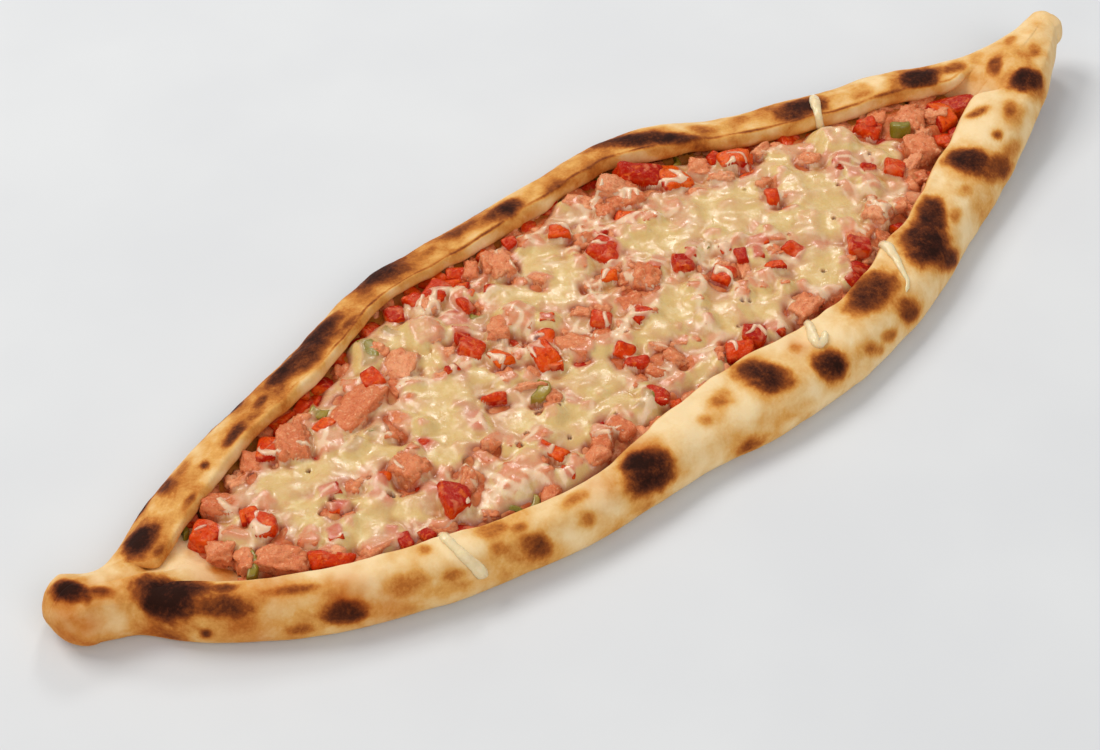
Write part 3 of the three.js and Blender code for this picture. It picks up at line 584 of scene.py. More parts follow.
def on_filling(px, py, z=15.0):
    """Where a point of the picture meets the filling's level."""
    d = ray(px, py)
    c = CAM_POS + d * ((z - CAM_POS[2]) / d[2])
    return c[0], c[1]


# where the cheese ran together: picture point, half sizes across and down, turn
POOLS = [
    (298, 474, 46, 20, -12), (315, 505, 26, 16, 0), (362, 515, 26, 20, -10), (440, 392, 40, 14, -6), (430, 418, 34, 18, 0), (452, 448, 26, 22, 0), (408, 334, 30, 11, -14),
    (430, 355, 14, 18, 0), (520, 294, 26, 12, 0), (560, 278, 24, 22, -20), (592, 372, 34, 28, 0), (570, 418, 30, 22, 0), (655, 328, 30, 14, -14), (654, 238, 38, 20, -6),
    (726, 206, 40, 28, -8), (676, 300, 18, 18, 0), (733, 312, 24, 18, 0), (826, 206, 36, 26, -6), (822, 262, 24, 20, 0), (886, 143, 20, 14, 8), (772, 158, 22, 14, 0),
    (538, 256, 24, 12, -30), (705, 365, 20, 10, -14), (380, 452, 24, 14, 0), (800, 178, 24, 12, 0), (780, 215, 16, 12, 0), (520, 420, 16, 14, 0), (840, 140, 20, 12, 0),
    (615, 400, 22, 12, -30), (345, 460, 18, 12, 0), (480, 372, 16, 8, 0), (530, 450, 18, 12, 0), (410, 505, 20, 14, 0), (770, 300, 20, 14, 0),
]


def to_picture(x, y, z=15.0):
    d = np.stack([x - CAM_POS[0], y - CAM_POS[1], np.full(np.shape(x), z) - CAM_POS[2]], -1)
    deep = d @ CAM_FWD
    return 550.0 + FOCAL * (d @ CAM_RIGHT) / deep, 375.0 - FOCAL * (d @ CAM_UP) / deep


def pool_at(x, y):
    """0 where the cheese is thin, 1 in a pool."""
    shape = np.shape(x)
    x, y = np.ravel(np.asarray(x, float)), np.ravel(np.asarray(y, float))
    px, py = to_picture(x, y)
    q = np.stack([x, y, np.zeros(len(x))], 1)
    wave = 0.55 * pn(q, 11, 65) + 0.40 * pn(q, 5, 66)
    out = np.zeros(len(x))
    for cx, cy, rx, ry, turn in POOLS:
        t = math.radians(turn)
        u = ((px - cx) * math.cos(t) + (py - cy) * math.sin(t)) / rx
        v_ = (-(px - cx) * math.sin(t) + (py - cy) * math.cos(t)) / ry
        out = np.maximum(out, 1 - sstep(0.70, 1.25, np.sqrt(u * u + v_ * v_) + wave))
    return out.reshape(shape)


KIND = dict(t="tomato", c="chicken", p="pepper")
rows = dict(tomato=[(r, 10, e) for r, e in zip(TOMATO, BARE_T)], chicken=[(r, 12, e) for r, e in zip(CHICKEN, BARE_C)], pepper=[(r, 9, e) for r, e in zip(PEPPER, BARE_P)])
placed = [(r[0], r[1], max(r[2], r[3]) / 2) for r in TOMATO + CHICKEN + PEPPER]
for k, px, py, w, h, turn, e, *level in SEEN:
    level = level[0] if level else 15.0
    x, y = on_filling(px, py + 3, level)
    l, wid = 1.12 * w / 2.96, max(3.2, 1.12 * (h - 3) / 2.06)
    deep = min(6.5, max(4.0, 0.8 * max(l, wid)))
    top = 1.1 + 2.3 * e + rng.uniform(-0.4, 0.4)
    if level != 15.0:
        top = level + 1.5 - bed_top(np.array([x]), np.array([y]))[0][0]
    if k == "p":
        wid = min(wid, 4.0)
    rows[KIND[k]].append(((x, y, l, wid, deep, -40 + turn, rng.uniform(-12, 12), rng.uniform(-12, 12), top), 9 if k == "c" else 8, e))
    placed.append((x, y, max(l, wid) / 2))
# where smaller pieces go: a scatter that keeps its distance, inside the lips, mostly under the cheese
for _ in range(22000):
    x, y = rng.uniform(-180, 160), rng.uniform(-62, 48)
    _, free = bed_top(np.array([x]), np.array([y]))
    if free[0] < -3.0:
        continue
    ex, ey = to_picture(np.array([x]), np.array([y]))
    if ex[0] < 246 and ey[0] > 548:  # the bare corner by the knob
        continue
    small = rng.uniform(2.6, 5.2)
    if all((x - a) ** 2 + (y - b) ** 2 > (0.86 * (small + c)) ** 2 for a, b, c in placed):
        placed.append((x, y, small))
        kind = str(rng.choice(["chicken", "tomato", "pepper"], p=[0.64, 0.30, 0.06]))
        pooled = pool_at(np.array([x]), np.array([y]))[0]
        far = station(np.array([x]))
        to_far = far["yf"][0] - far["wf"][0] * 1.05 - y
        under_lip = to_far < 3.0
        e = rng.uniform(0.0, 0.45) if pooled > 0.5 or rng.uniform() > {"tomato": 0.6, "chicken": 0.62, "pepper": 0.05}[kind] else rng.uniform(0.45, 0.97)
        top = rng.uniform(-0.4, 1.4) if under_lip else rng.uniform(-0.2, 1.1) + 2.0 * e - 1.6 * pooled
        to_near = y - far["yn"][0] - far["wn"][0] * 1.05
        if to_near < 9 and rng.uniform() < 0.5:
            e = max(e, rng.uniform(0.4, 0.95))
        top += 2.6 * float(1 - sstep(1.0, 9.0, to_far)) + 2.8 * float(1 - sstep(0.5, 10.0, to_near))
        k = small * 2
        row = (x, y, k * rng.uniform(0.95, 1.45), k * rng.uniform(0.75, 1.0), min(6.5, k * rng.uniform(0.75, 1.0)), rng.uniform(0, 180), rng.uniform(-22, 22), rng.uniform(-18, 18), top)
        if kind == "pepper":
            row = (x, y, k * rng.uniform(0.8, 1.2), 2.4, 4.0, rng.uniform(0, 180), rng.uniform(-30, 30), rng.uniform(-18, 18), top - 0.8)
        rows[kind].append((row, (7 if e > 0.5 else 5) if kind == "chicken" else 6, e))

NAMES = dict(tomato="tomato_dice", chicken="chicken_dice", pepper="pepper_strips")
topping = {}
tops_v, tops_f, tops_k, tops_id = [], [], [], []
off = 0
pid = 0
exposed = []
for kind in ("tomato", "chicken", "pepper"):
    V, F, A, o = [], [], [], 0
    for i, (row, detail, bare_of) in enumerate(rows[kind]):
        p, f, a = piece(kind, row, i + {"tomato": 0, "chicken": 400, "pepper": 800}[kind], detail)
        V.append(p); F.append(f + o); A.append(a); o += len(p)
        tops_v.append(p); tops_f.append(f + off); off += len(p)
        tops_k += [{"tomato": 0, "chicken": 1, "pepper": 2}[kind]] * len(f)
        tops_id += [pid] * len(f)
        exposed.append(bare_of)
        pid += 1
    ob = make_mesh(NAMES[kind], np.concatenate(V), np.concatenate(F))
    A = np.concatenate(A)
    scalar(ob, "face", A[:, 0]); scalar(ob, "each", A[:, 1]); scalar(ob, "grain", A[:, 2])
    topping[kind] = ob
exposed = np.array(exposed)
print("toppings", {k: (len(rows[k]), len(topping[k].data.polygons) * 2) for k in rows})

# ------------------------------------------------------------------ filling core
GX = np.arange(-189, 168.1, 0.9)
GY = np.arange(-72, 58.1, 0.9)
gx, gy = np.meshgrid(GX, GY, indexing="ij")
fx, fy = gx.ravel(), gy.ravel()
zb, free = bed_top(fx, fy)
p3 = np.stack([fx, fy, zb], 1)
core_z = zb - 0.4 + (1.5 * pn(p3, 6.5, 41) + 0.9 * pn(p3, 3.0, 42) + 0.35 * pn(p3, 1.5, 43)) * sstep(-6, 4, free)
s = station(fx)
inside = (fy > s["yn"] + s["wn"] - 3.4) & (fy < s["yf"] - s["wf"] + 3.4) & (fx > BED_X[0] - 6) & (fx < BED_X[1] + 5)
keep_v = inside.reshape(gx.shape)
ok = keep_v[:-1, :-1] & keep_v[1:, :-1] & keep_v[1:, 1:] & keep_v[:-1, 1:]
cf = grid_faces(len(GX), len(GY)).reshape(len(GX) - 1, len(GY) - 1, 4)[ok]
used = np.unique(cf)
remap = -np.ones(len(fx), int)
remap[used] = np.arange(len(used))
ex, ey = to_picture(fx, fy)
core_z = core_z - 4.0 * (1 - sstep(236, 256, ex)) * sstep(540, 556, ey)
core_z = core_z + 2.4 * (1 - sstep(1.0, 9.0, s["yf"] - s["wf"] * 1.05 - fy)) * (fx > -160) * (fx < 150)
core_z = core_z + 2.0 * (1 - sstep(0.5, 9.0, fy - s["yn"] - s["wn"] * 1.05)) * (fx > -140) * (fx < 150)
core_v = np.stack([fx, fy, core_z], 1)[used]
core = make_mesh("filling_core", core_v, remap[cf])
scalar(core, "grain", pn(core_v, 3.0, 44))
scalar(core, "each", pn(core_v, 8.0, 45))
lip_gap = (station(core_v[:, 0])["yf"] - station(core_v[:, 0])["wf"] * 1.05) - core_v[:, 1]
scalar(core, "oily", (1 - sstep(0.5, 4.5, lip_gap + 3 * pn(core_v, 12, 46))) * (0.75 + 0.5 * pn(core_v, 5, 47)))

# ------------------------------------------------------------------ cheese
all_v = np.concatenate(tops_v + [core_v])
all_f = [tuple(map(int, f)) for f in np.concatenate(tops_f)] + [tuple(map(int, f + off)) for f in remap[cf]]
kinds = np.array(tops_k + [3] * len(cf))
ids = np.array(tops_id + [-1] * len(cf))
fill_bvh = BVHTree.FromPolygons([Vector(p) for p in all_v], all_f)

STEP = 0.54
HX = np.arange(-186, 166.1, STEP)
HY = np.arange(-68, 54.1, STEP)
hx, hy = np.meshgrid(HX, HY, indexing="ij")
s = station(HX)
lo = (s["yn"] + s["wn"] * 1.05)[:, None]
hi = (s["yf"] - s["wf"] * 1.05)[:, None]
freeg = np.minimum(hy - lo, hi - hy)  # distance inside the lips
use = (freeg > -3.5)
H = np.full(hx.shape, 5.0)
K = np.full(hx.shape, 3)
I = np.full(hx.shape, -1)
down = Vector((0, 0, -1))
for i, j in np.argwhere(use):
    hit, n, idx, dist = fill_bvh.ray_cast(Vector((hx[i, j], hy[i, j], 60)), down)
    if hit is not None:
        H[i, j] = hit.z
        K[i, j] = kinds[idx]
        I[i, j] = ids[idx]
bedg, _ = bed_top(hx.ravel(), hy.ravel())
bedg = bedg.reshape(hx.shape)


def blur(a, sigma):
    n = int(3 * sigma / STEP) + 1
    k = np.exp(-0.5 * (np.arange(-n, n + 1) * STEP / sigma) ** 2)
    k /= k.sum()
    b = np.pad(a, n, mode="edge")
    b = np.apply_along_axis(lambda r: np.convolve(r, k, "valid"), 0, b)
    return np.apply_along_axis(lambda r: np.convolve(r, k, "valid"), 1, b)


flatp = np.stack([hx.ravel(), hy.ravel(), np.zeros(hx.size)], 1)
grid_n = lambda sc, sd: pn(flatp, sc, sd).reshape(hx.shape)

E = np.where(I >= 0, exposed[np.maximum(I, 0)], 0.0)  # how bare what lies here is
stand = E > 0.78
# the level the cheese ran to: smooth, low round what stands out of it
Hc = np.where(stand, np.minimum(H, bedg + 1.3), H)
S = blur(Hc, 3.1)
pool = pool_at(hx, hy)
level = -0.62 + 1.72 * pool + 0.55 * grid_n(12, 51) + (0.62 * grid_n(6, 52) + 0.20 * grid_n(3, 58)) * (1 - 0.6 * pool)
# none along the far lip and at the two ends
edge = grid_n(9, 57)
level -= 3.6 * (1 - sstep(0.5, 5.5, hi - hy + 3.0 * edge))
level -= 1.5 * (1 - sstep(2.0, 9.0, hy - lo + 5.0 * edge))
level -= 3.6 * (1 - sstep(-180, -166, hx + 0.35 * (hy + 15) + 9 * edge))
level -= 3.6 * sstep(119, 133, hx + 0.12 * (hy + 20) + 8 * edge)
# here and there it has drawn away from a piece and a dark gap is left
gap_ = blur(stand.astype(float), 1.6)
gap_ = np.clip(4 * gap_ * (1 - gap_), 0, 1) * (1 - stand)
gap_ = gap_ * sstep(-0.06, 0.24, grid_n(7, 63))
level -= 2.6 * gap_
S = S + level

# shreds that melted where they fell
strand = np.zeros(hx.shape)
for k in range(680):
    x, y = rng.uniform(-172, 130), rng.uniform(-62, 46)
    i, j = int((x - HX[0]) / STEP), int((y - HY[0]) / STEP)
    if not (0 <= i < len(HX) and 0 <= j < len(HY)) or freeg[i, j] < 1.5 or hi[i, 0] - HY[j] < 6:
        continue
    ang = rng.uniform(0, 2 * math.pi)
    bend = rng.normal(0, 0.06)
    L = rng.uniform(6, 20)
    rad = rng.uniform(0.7, 1.4)
    hgt = rng.uniform(0.4, 0.95)
    n = int(L / 0.6)
    for q in range(n):
        e = math.sin(math.pi * (q + 0.5) / n) ** 0.35
        x += 0.6 * math.cos(ang); y += 0.6 * math.sin(ang); ang += bend + rng.normal(0, 0.05)
        i0, i1 = max(0, int((x - 2.0 - HX[0]) / STEP)), int((x + 2.0 - HX[0]) / STEP) + 2
        j0, j1 = max(0, int((y - 2.0 - HY[0]) / STEP)), int((y + 2.0 - HY[0]) / STEP) + 2
        if i1 <= i0 or j1 <= j0 or i0 >= len(HX) or j0 >= len(HY):
            continue
        dd = ((hx[i0:i1, j0:j1] - x) ** 2 + (hy[i0:i1, j0:j1] - y) ** 2) / (rad * rad)
        strand[i0:i1, j0:j1] = np.maximum(strand[i0:i1, j0:j1], hgt * e * np.sqrt(np.clip(1 - dd, 0, 1)))
strand = blur(strand, 0.42)

# a film over the pieces that aren't bare
film = 0.14 + 0.62 * (1 - E) ** 1.1 + 0.22 * grid_n(3.5, 59) + 0.5 * pool
# on what stands out it thins with the height above the level, and covers some of it by chance
at_rim = 1 - sstep(0.52, 0.93, blur(stand.astype(float), 1.1))  # 1 at a standing piece's outline, 0 in its middle
climb = 0.22 + 1.15 * at_rim * (0.42 + 1.3 * grid_n(6.5, 64)) + 0.80 * grid_n(5.5, 61) + 0.3 * grid_n(2.6, 62) + np.where(K == 1, 0.12, 0.06) - 0.38 * (H - S)
climb = climb + 0.40 * (1 - sstep(-160, -135, hx))
film = np.where(stand, np.clip(climb, -1.6, 0.5), np.clip(film, 0.06, 1.2)) - 2.5 * (1 - sstep(-2.6, -1.2, level)) - np.where(stand, 0, 3.0 * gap_)
strung = sstep(0.15, 0.4, strand) * sstep(-0.22, 0.08, grid_n(13, 60))
over = H + np.maximum(film, mix(film, 0.12 + 0.7 * strand, strung * (level > -1.5)))
# it hangs in slopes from the pieces it covers
skirt = np.where(stand | (gap_ > 0.3), S - 3, over)
for it in range(7):
    for dx, dy in ((1, 0), (-1, 0), (0, 1), (0, -1), (1, 1), (1, -1), (-1, 1), (-1, -1)):
        skirt = np.maximum(skirt, np.roll(np.roll(skirt, dx, 0), dy, 1) - 1.05 * STEP * math.hypot(dx, dy))
skirt = np.where(stand, over, skirt) - 2.5 * gap_
over = np.maximum(over, blur(skirt, 0.5))
soft = 0.7
Z = np.maximum(S, over) + soft * np.exp(-np.abs(S - over) / soft) * 0.30
Z = Z + 0.85 * strand * sstep(-0.6, 0.2, level) * (1 - strung) * (1 - 0.7 * pool)
Z = np.where(stand, mix(Z, blur(Z, 0.6), 0.4), mix(Z, blur(Z, 0.85), 0.8))
Z = Z + (0.10 * grid_n(2.0, 54) + 0.14 * grid_n(4.5, 55)) * sstep(-0.4, 0.4, level) * (1 - 0.6 * pool)
# bubbles burst as it baked
holes = [(332, 498, 1.35), (391, 490, 1.3), (322, 510, 1.2), (495, 446, 2.2), (520, 445, 1.3), (468, 457, 1.8), (539, 411, 1.4), (679, 347, 1.7), (251, 469, 1.5), (527, 431, 0.8), (718, 347, 1.1), (612, 278, 1.0), (499, 338, 1.3), (537, 336, 1.4), (840, 166, 1.5)]
pits = [(*on_filling(a, b), r) for a, b, r in holes]
for k in range(34):
    pits.append((rng.uniform(-160, 125), rng.uniform(-60, 42), rng.uniform(0.4, 0.8)))
dent = np.zeros(hx.shape)
for cx, cy, rr in pits:
    d2 = np.sqrt((hx - cx) ** 2 + (hy - cy) ** 2) / rr
    dent = np.maximum(dent, 1 - sstep(0.6, 1.15, d2))
    Z = Z + 0.22 * np.exp(-((d2 - 1.45) / 0.4) ** 2) * sstep(-0.4, 0.3, level)
Z = Z - dent * np.where(stand, 0.2, 2.6)
thick = np.clip(Z - H, 0, 3.5)
thick = np.where(dent > 0.3, thick * (1 - dent), thick)
gone = (Z < H - 1.2).astype(float)
Z = np.where(freeg < 0, Z - 2.5 * sstep(0, 3.0, -freeg), Z)

# colour: what lies beneath shows through a thin film
C_CHEESE = lin(216, 184, 119)
C_PALE = lin(215, 171, 131)
under_rgb = np.array([lin(192, 46, 10), lin(208, 108, 60), lin(138, 122, 44), lin(164, 66, 28)])[K]
under_rgb = np.stack([blur(under_rgb[:, :, c], 0.8) for c in range(3)], -1)
tb = blur(thick, 0.5)
opac = 1 - np.exp(-tb / 0.60)
che = mix(C_PALE, C_CHEESE, sstep(0.5, 1.7, tb + 0.5 * grid_n(9, 56))[..., None])
rgb = mix(under_rgb, che, opac[..., None])
rgb = mix(rgb, lin(236, 208, 172), (0.72 * sstep(0.2, 0.55, strand) * (level > -1.5) * (1 - pool))[..., None])
# painted shade: the cheese colour is darkened and reddened in its hollows, where shade falls between the lumps
low = sstep(0.05, 0.9, blur(Z, 1.7) - Z)[..., None]
rgb = rgb * mix(1.0, np.array([0.74, 0.47, 0.32]), low)
# the burst bubbles' pits are darkened to a deep red-brown: the sauce below, with painted shade at the bottom of each
# hole
rgb = mix(rgb, lin(112, 40, 18), np.clip(0.85 * dent, 0, 1)[..., None])

vm = use & (gone < 0.999)
okq = (vm[:-1, :-1] | vm[1:, :-1] | vm[1:, 1:] | vm[:-1, 1:]) & use[:-1, :-1] & use[1:, :-1] & use[1:, 1:] & use[:-1, 1:]
hf = grid_faces(len(HX), len(HY)).reshape(len(HX) - 1, len(HY) - 1, 4)[okq]
usedh = np.unique(hf)
remh = -np.ones(hx.size, int)
remh[usedh] = np.arange(len(usedh))
cv = np.stack([hx.ravel(), hy.ravel(), Z.ravel()], 1)[usedh]
cheese = make_mesh("cheese_melt", cv, remh[hf])
colour(cheese, "tint", rgb.reshape(-1, 3)[usedh])
scalar(cheese, "thick", np.clip(thick.ravel()[usedh], 0, 3))
print("cheese tris", len(cheese.data.polygons) * 2)

# ------------------------------------------------------------------ drips of cheese on the folds
def tube_on(path, radii, flatten=0.75, segs=14):
    """A run of cheese lying on a surface: points with their normals, and a radius for each."""
    V, F = [], []
    pts = np.array([p for p, _ in path]); ns = np.array([n for _, n in path])
    n = len(pts)
    tang = np.gradient(pts, axis=0)
    for i in range(n):
        t = tang[i] / np.linalg.norm(tang[i])
        up = ns[i] - t * (ns[i] @ t); up /= np.linalg.norm(up)
        sd = np.cross(t, up)
        for k in range(segs):
            a = 2 * math.pi * k / segs
            V.append(pts[i] + radii[i] * (sd * math.cos(a) + up * (flatten * math.sin(a) + 0.15)))
    for i in range(n - 1):
        for k in range(segs):
            F.append((i * segs + k, i * segs + (k + 1) % segs, (i + 1) * segs + (k + 1) % segs, (i + 1) * segs + k))
    return np.array(V), np.array(F)


def run_over(points, count, smooth=2.0):
    """Picture points, carried on to the bread, as an even path."""
    pts = np.array(points, float)
    seg = np.concatenate([[0], np.cumsum(np.linalg.norm(np.diff(pts, axis=0), axis=1))])
    t = np.linspace(0, seg[-1], count)
    path = []
    for u in t:
        px, py = np.interp(u, seg, pts[:, 0]), np.interp(u, seg, pts[:, 1])
        c, nn = on_bread(px, py)
        if c is not None:
            path.append((c, nn))
    P_ = np.array([a for a, _ in path]); N_ = np.array([b for _, b in path])
    for _ in range(3):
        P_[1:-1] = (P_[:-2] + 2 * P_[1:-1] + P_[2:]) / 4
        N_[1:-1] = (N_[:-2] + 2 * N_[1:-1] + N_[2:]) / 4
    return list(zip(P_, N_ / np.linalg.norm(N_, axis=1)[:, None]))


DRIPS = [
    ([(440, 533), (452, 545), (466, 558), (478, 569), (486, 577)], [1.8, 1.9, 1.5, 1.7, 1.8, 2.2, 2.1]),
    ([(813, 96), (816, 108), (819, 120), (822, 136)], [1.5, 2.1, 1.7, 1.5, 1.5, 1.8, 2.0]),
    ([(881, 243), (889, 249), (896, 259), (901, 269), (908, 280), (906, 292)], [2.0, 2.1, 1.5, 1.1, 1.0, 0.8, 0.6]),
    ([(807, 321), (811, 330), (814, 340), (819, 345), (824, 340), (825, 331)], [1.3, 1.6, 1.8, 1.9, 1.8, 1.5, 1.1]),
]
DV, DF, o = [], [], 0
for pts, rad in DRIPS:
    path = run_over(pts, 40)
    t = np.linspace(0, 1, len(path))
    rr = np.interp(t, np.linspace(0, 1, len(rad)), rad)
    rr = rr * np.sqrt(np.clip(np.minimum(t / 0.08, (1 - t) / 0.08), 0.01, 1))
    v_, f_ = tube_on(path, rr)
    v_ = v_ + 0.55 * np.stack([pn(v_, 3.2, 60 + k) for k in range(3)], 1)
    DV.append(v_); DF.append(f_ + o); o += len(v_)
drips = make_mesh("cheese_drips", np.concatenate(DV), np.concatenate(DF))
colour(drips, "tint", np.tile(lin(230, 208, 164), (o, 1)) * (1 + 0.05 * pn(np.concatenate(DV), 3, 70))[:, None])
scalar(drips, "thick", np.full(o, 2.0))

# ------------------------------------------------------------------ materials
class Mat:
    def __init__(self, name):
        self.m = bpy.data.materials.new(name)
        self.m.use_nodes = True
        self.t = self.m.node_tree
        self.t.nodes.clear()
        self.out = self.t.nodes.new("ShaderNodeOutputMaterial")
        self.b = self.t.nodes.new("ShaderNodeBsdfPrincipled")
        self.t.links.new(self.b.outputs[0], self.out.inputs[0])
        self.co = self.t.nodes.new("ShaderNodeTexCoord").outputs["Object"]

    def link(self, a, b):
        self.t.links.new(a, b)

    def attr(self, name, what="Fac"):
        n = self.t.nodes.new("ShaderNodeAttribute")
        n.attribute_name = name
        return n.outputs[what]

    def noise(self, size_mm, detail=4, rough=0.55, distort=0.0, scale3=None):
        n = self.t.nodes.new("ShaderNodeTexNoise")
        n.inputs["Scale"].default_value = 1000.0 / size_mm
        n.inputs["Detail"].default_value = detail
        n.inputs["Roughness"].default_value = rough
        n.inputs["Distortion"].default_value = distort
        self.link(self.co, n.inputs["Vector"])
        return n.outputs["Fac"]

    def math(self, op, a, b=None, c=None, clamp=False):
        n = self.t.nodes.new("ShaderNodeMath")
        n.operation = op
        n.use_clamp = clamp
        for k, val in enumerate((a, b, c)):
            if val is None:
                continue
            if isinstance(val, (int, float)):
                n.inputs[k].default_value = val
            else:
                self.link(val, n.inputs[k])
        return n.outputs[0]

    def mapr(self, v, a, b, c, d):
        n = self.t.nodes.new("ShaderNodeMapRange")
        n.interpolation_type = "SMOOTHSTEP"
        self.link(v, n.inputs[0])
        for k, val in zip((1, 2, 3, 4), (a, b, c, d)):
            n.inputs[k].default_value = val
        return n.outputs[0]

    def mix(self, f, a, b, blend="MIX"):
        n = self.t.nodes.new("ShaderNodeMix")
        n.data_type = "RGBA"
        n.blend_type = blend
        if isinstance(f, (int, float)):
            n.inputs[0].default_value = f
        else:
            self.link(f, n.inputs[0])
        for k, val in ((6, a), (7, b)):
            if isinstance(val, (tuple, list, np.ndarray)):
                n.inputs[k].default_value = (*[float(q) for q in val], 1.0)
            else:
                self.link(val, n.inputs[k])
        return n.outputs[2]

    def ramp(self, v, stops):
        n = self.t.nodes.new("ShaderNodeValToRGB")
        e = n.color_ramp.elements
        while len(e) < len(stops):
            e.new(0.5)
        for k, (pos, c) in enumerate(stops):
            e[k].position = pos
            e[k].color = (*[float(q) for q in c], 1.0)
        self.link(v, n.inputs[0])
        return n.outputs[0]

    def bump(self, height, dist_mm, strength=1.0, normal=None):
        n = self.t.nodes.new("ShaderNodeBump")
        n.inputs["Strength"].default_value = strength
        n.inputs["Distance"].default_value = dist_mm * MM
        self.link(height, n.inputs["Height"])
        if normal is not None:
            self.link(normal, n.inputs["Normal"])
        return n.outputs[0]


# bread
M = Mat("baked_crust")
sc = M.attr("scorch")
speck = M.noise(1.1, 5, 0.65)
blotch = M.noise(7.0, 4, 0.6, 0.6)
v1 = M.math("ADD", M.math("MULTIPLY", sc, M.mapr(sc, 0.5, 1.0, 1.0, 0.90)), M.math("MULTIPLY", M.math("SUBTRACT", speck, 0.5), M.math("MULTIPLY_ADD", sc, 0.6, 0.05)))
v1 = M.math("ADD", v1, M.math("MULTIPLY", M.math("SUBTRACT", blotch, 0.5), M.math("MULTIPLY_ADD", sc, 0.75, 0.16)), clamp=True)
crust = M.ramp(v1, [(0.0, lin(238, 209, 160)), (0.10, lin(228, 188, 128)), (0.22, lin(216, 158, 82)), (0.36, lin(190, 116, 46)), (0.52, lin(142, 72, 26)), (0.70, lin(94, 44, 20)), (0.86, lin(58, 24, 14)), (1.0, lin(38, 14, 8))])
crust = M.mix(M.math("MULTIPLY", M.attr("oil"), 0.72), crust, lin(222, 150, 54), "MULTIPLY")
M.link(crust, M.b.inputs["Base Color"])
M.link(M.mapr(v1, 0.1, 0.9, 0.62, 0.78), M.b.inputs["Roughness"])
M.b.inputs["Specular IOR Level"].default_value = 0.14
M.b.inputs["Specular Tint"].default_value = (1.0, 0.78, 0.6, 1.0)
M.b.inputs["Subsurface Weight"].default_value = 0.12
M.b.inputs["Subsurface Radius"].default_value = (1.0, 0.5, 0.25)
M.b.inputs["Subsurface Scale"].default_value = 0.0025
nb = M.bump(M.noise(6.0, 3, 0.55), 0.5, 0.6)
nb = M.bump(M.noise(0.9, 4, 0.6), 0.13, 0.8, nb)
M.link(nb, M.b.inputs["Normal"])
bread.data.materials.append(M.m)

# cheese
M = Mat("melted_cheese")
tint = M.attr("tint", "Color")
cloud = M.noise(3.2, 4, 0.6, 0.8)
fine = M.noise(0.8, 3, 0.6)
col = M.mix(M.mapr(cloud, 0.35, 0.75, 0.0, 0.30), tint, M.mix(1.0, tint, lin(244, 222, 198), "MULTIPLY"))
col = M.mix(M.math("MULTIPLY", M.mapr(M.noise(4.5, 3, 0.55), 0.5, 0.75, 0.0, 0.38), M.mapr(M.attr("thick"), 0.4, 1.2, 0.0, 1.0)), col, lin(240, 222, 176))
M.link(col, M.b.inputs["Base Color"])
M.link(M.mapr(M.noise(2.2, 3, 0.5), 0.3, 0.7, 0.17, 0.38), M.b.inputs["Roughness"])
M.b.inputs["Specular IOR Level"].default_value = 0.42
M.b.inputs["Subsurface Weight"].default_value = 0.35
M.b.inputs["Subsurface Radius"].default_value = (1.0, 0.62, 0.35)
M.b.inputs["Subsurface Scale"].default_value = 0.003
M.b.inputs["Coat Weight"].default_value = 0.08
M.b.inputs["Coat Roughness"].default_value = 0.12
nb = M.bump(M.noise(3.2, 4, 0.6, 0.7), 0.28, 0.55)
nb = M.bump(fine, 0.08, 0.6, nb)
M.link(nb, M.b.inputs["Normal"])
cheese.data.materials.append(M.m)
drips.data.materials.append(M.m)

# tomato
M = Mat("tomato_flesh")
base = M.ramp(M.math("ADD", M.attr("each"), M.math("MULTIPLY", M.attr("grain"), 0.5), clamp=True), [(0.0, lin(178, 28, 2)), (0.5, lin(202, 54, 4)), (1.0, lin(218, 84, 12))])
base = M.mix(M.attr("face"), base, lin(166, 14, 2))
base = M.mix(M.mapr(M.noise(2.4, 4, 0.6, 0.8), 0.52, 0.66, 0.0, 0.6), base, lin(222, 104, 34))
base = M.mix(M.mapr(M.noise(1.5, 3, 0.6, 0.5), 0.44, 0.34, 0.0, 0.6), base, lin(150, 16, 4))
base = M.mix(M.mapr(M.noise(4.2, 3, 0.5, 0.7), 0.52, 0.70, 0.0, 0.55), base, lin(216, 122, 82))
M.link(base, M.b.inputs["Base Color"])
M.link(M.mapr(M.noise(1.8, 3, 0.5), 0.3, 0.7, 0.16, 0.36), M.b.inputs["Roughness"])
M.b.inputs["Specular IOR Level"].default_value = 0.3
M.b.inputs["Specular Tint"].default_value = (1.0, 0.45, 0.2, 1.0)
M.b.inputs["Subsurface Weight"].default_value = 0.2
M.b.inputs["Subsurface Radius"].default_value = (1.0, 0.2, 0.05)
M.b.inputs["Subsurface Scale"].default_value = 0.002
M.link(M.bump(M.noise(2.0, 4, 0.6, 0.4), 0.6, 0.8), M.b.inputs["Normal"])
topping["tomato"].data.materials.append(M.m)

# chicken
M = Mat("chicken_meat")
base = M.ramp(M.math("ADD", M.math("MULTIPLY", M.attr("each"), 0.6), M.math("MULTIPLY_ADD", M.attr("grain"), 0.45, 0.2), clamp=True), [(0.0, lin(200, 96, 50)), (0.5, lin(216, 124, 76)), (1.0, lin(230, 158, 112))])
base = M.mix(M.mapr(M.attr("face"), 0.05, 0.5, 0.0, 0.55), base, lin(188, 78, 40))
crumb = M.noise(1.3, 5, 0.68, 0.5)
base = M.mix(M.mapr(crumb, 0.45, 0.34, 0.0, 0.65), base, lin(182, 70, 32))
base = M.mix(M.mapr(crumb, 0.54, 0.68, 0.0, 0.7), base, lin(242, 186, 140))
M.link(base, M.b.inputs["Base Color"])
M.link(M.mapr(M.noise(1.6, 3, 0.5), 0.3, 0.7, 0.22, 0.46), M.b.inputs["Roughness"])
M.b.inputs["Specular IOR Level"].default_value = 0.45
M.b.inputs["Specular Tint"].default_value = (1.0, 0.72, 0.5, 1.0)
M.b.inputs["Subsurface Weight"].default_value = 0.15
M.b.inputs["Subsurface Radius"].default_value = (1.0, 0.4, 0.2)
M.b.inputs["Subsurface Scale"].default_value = 0.002
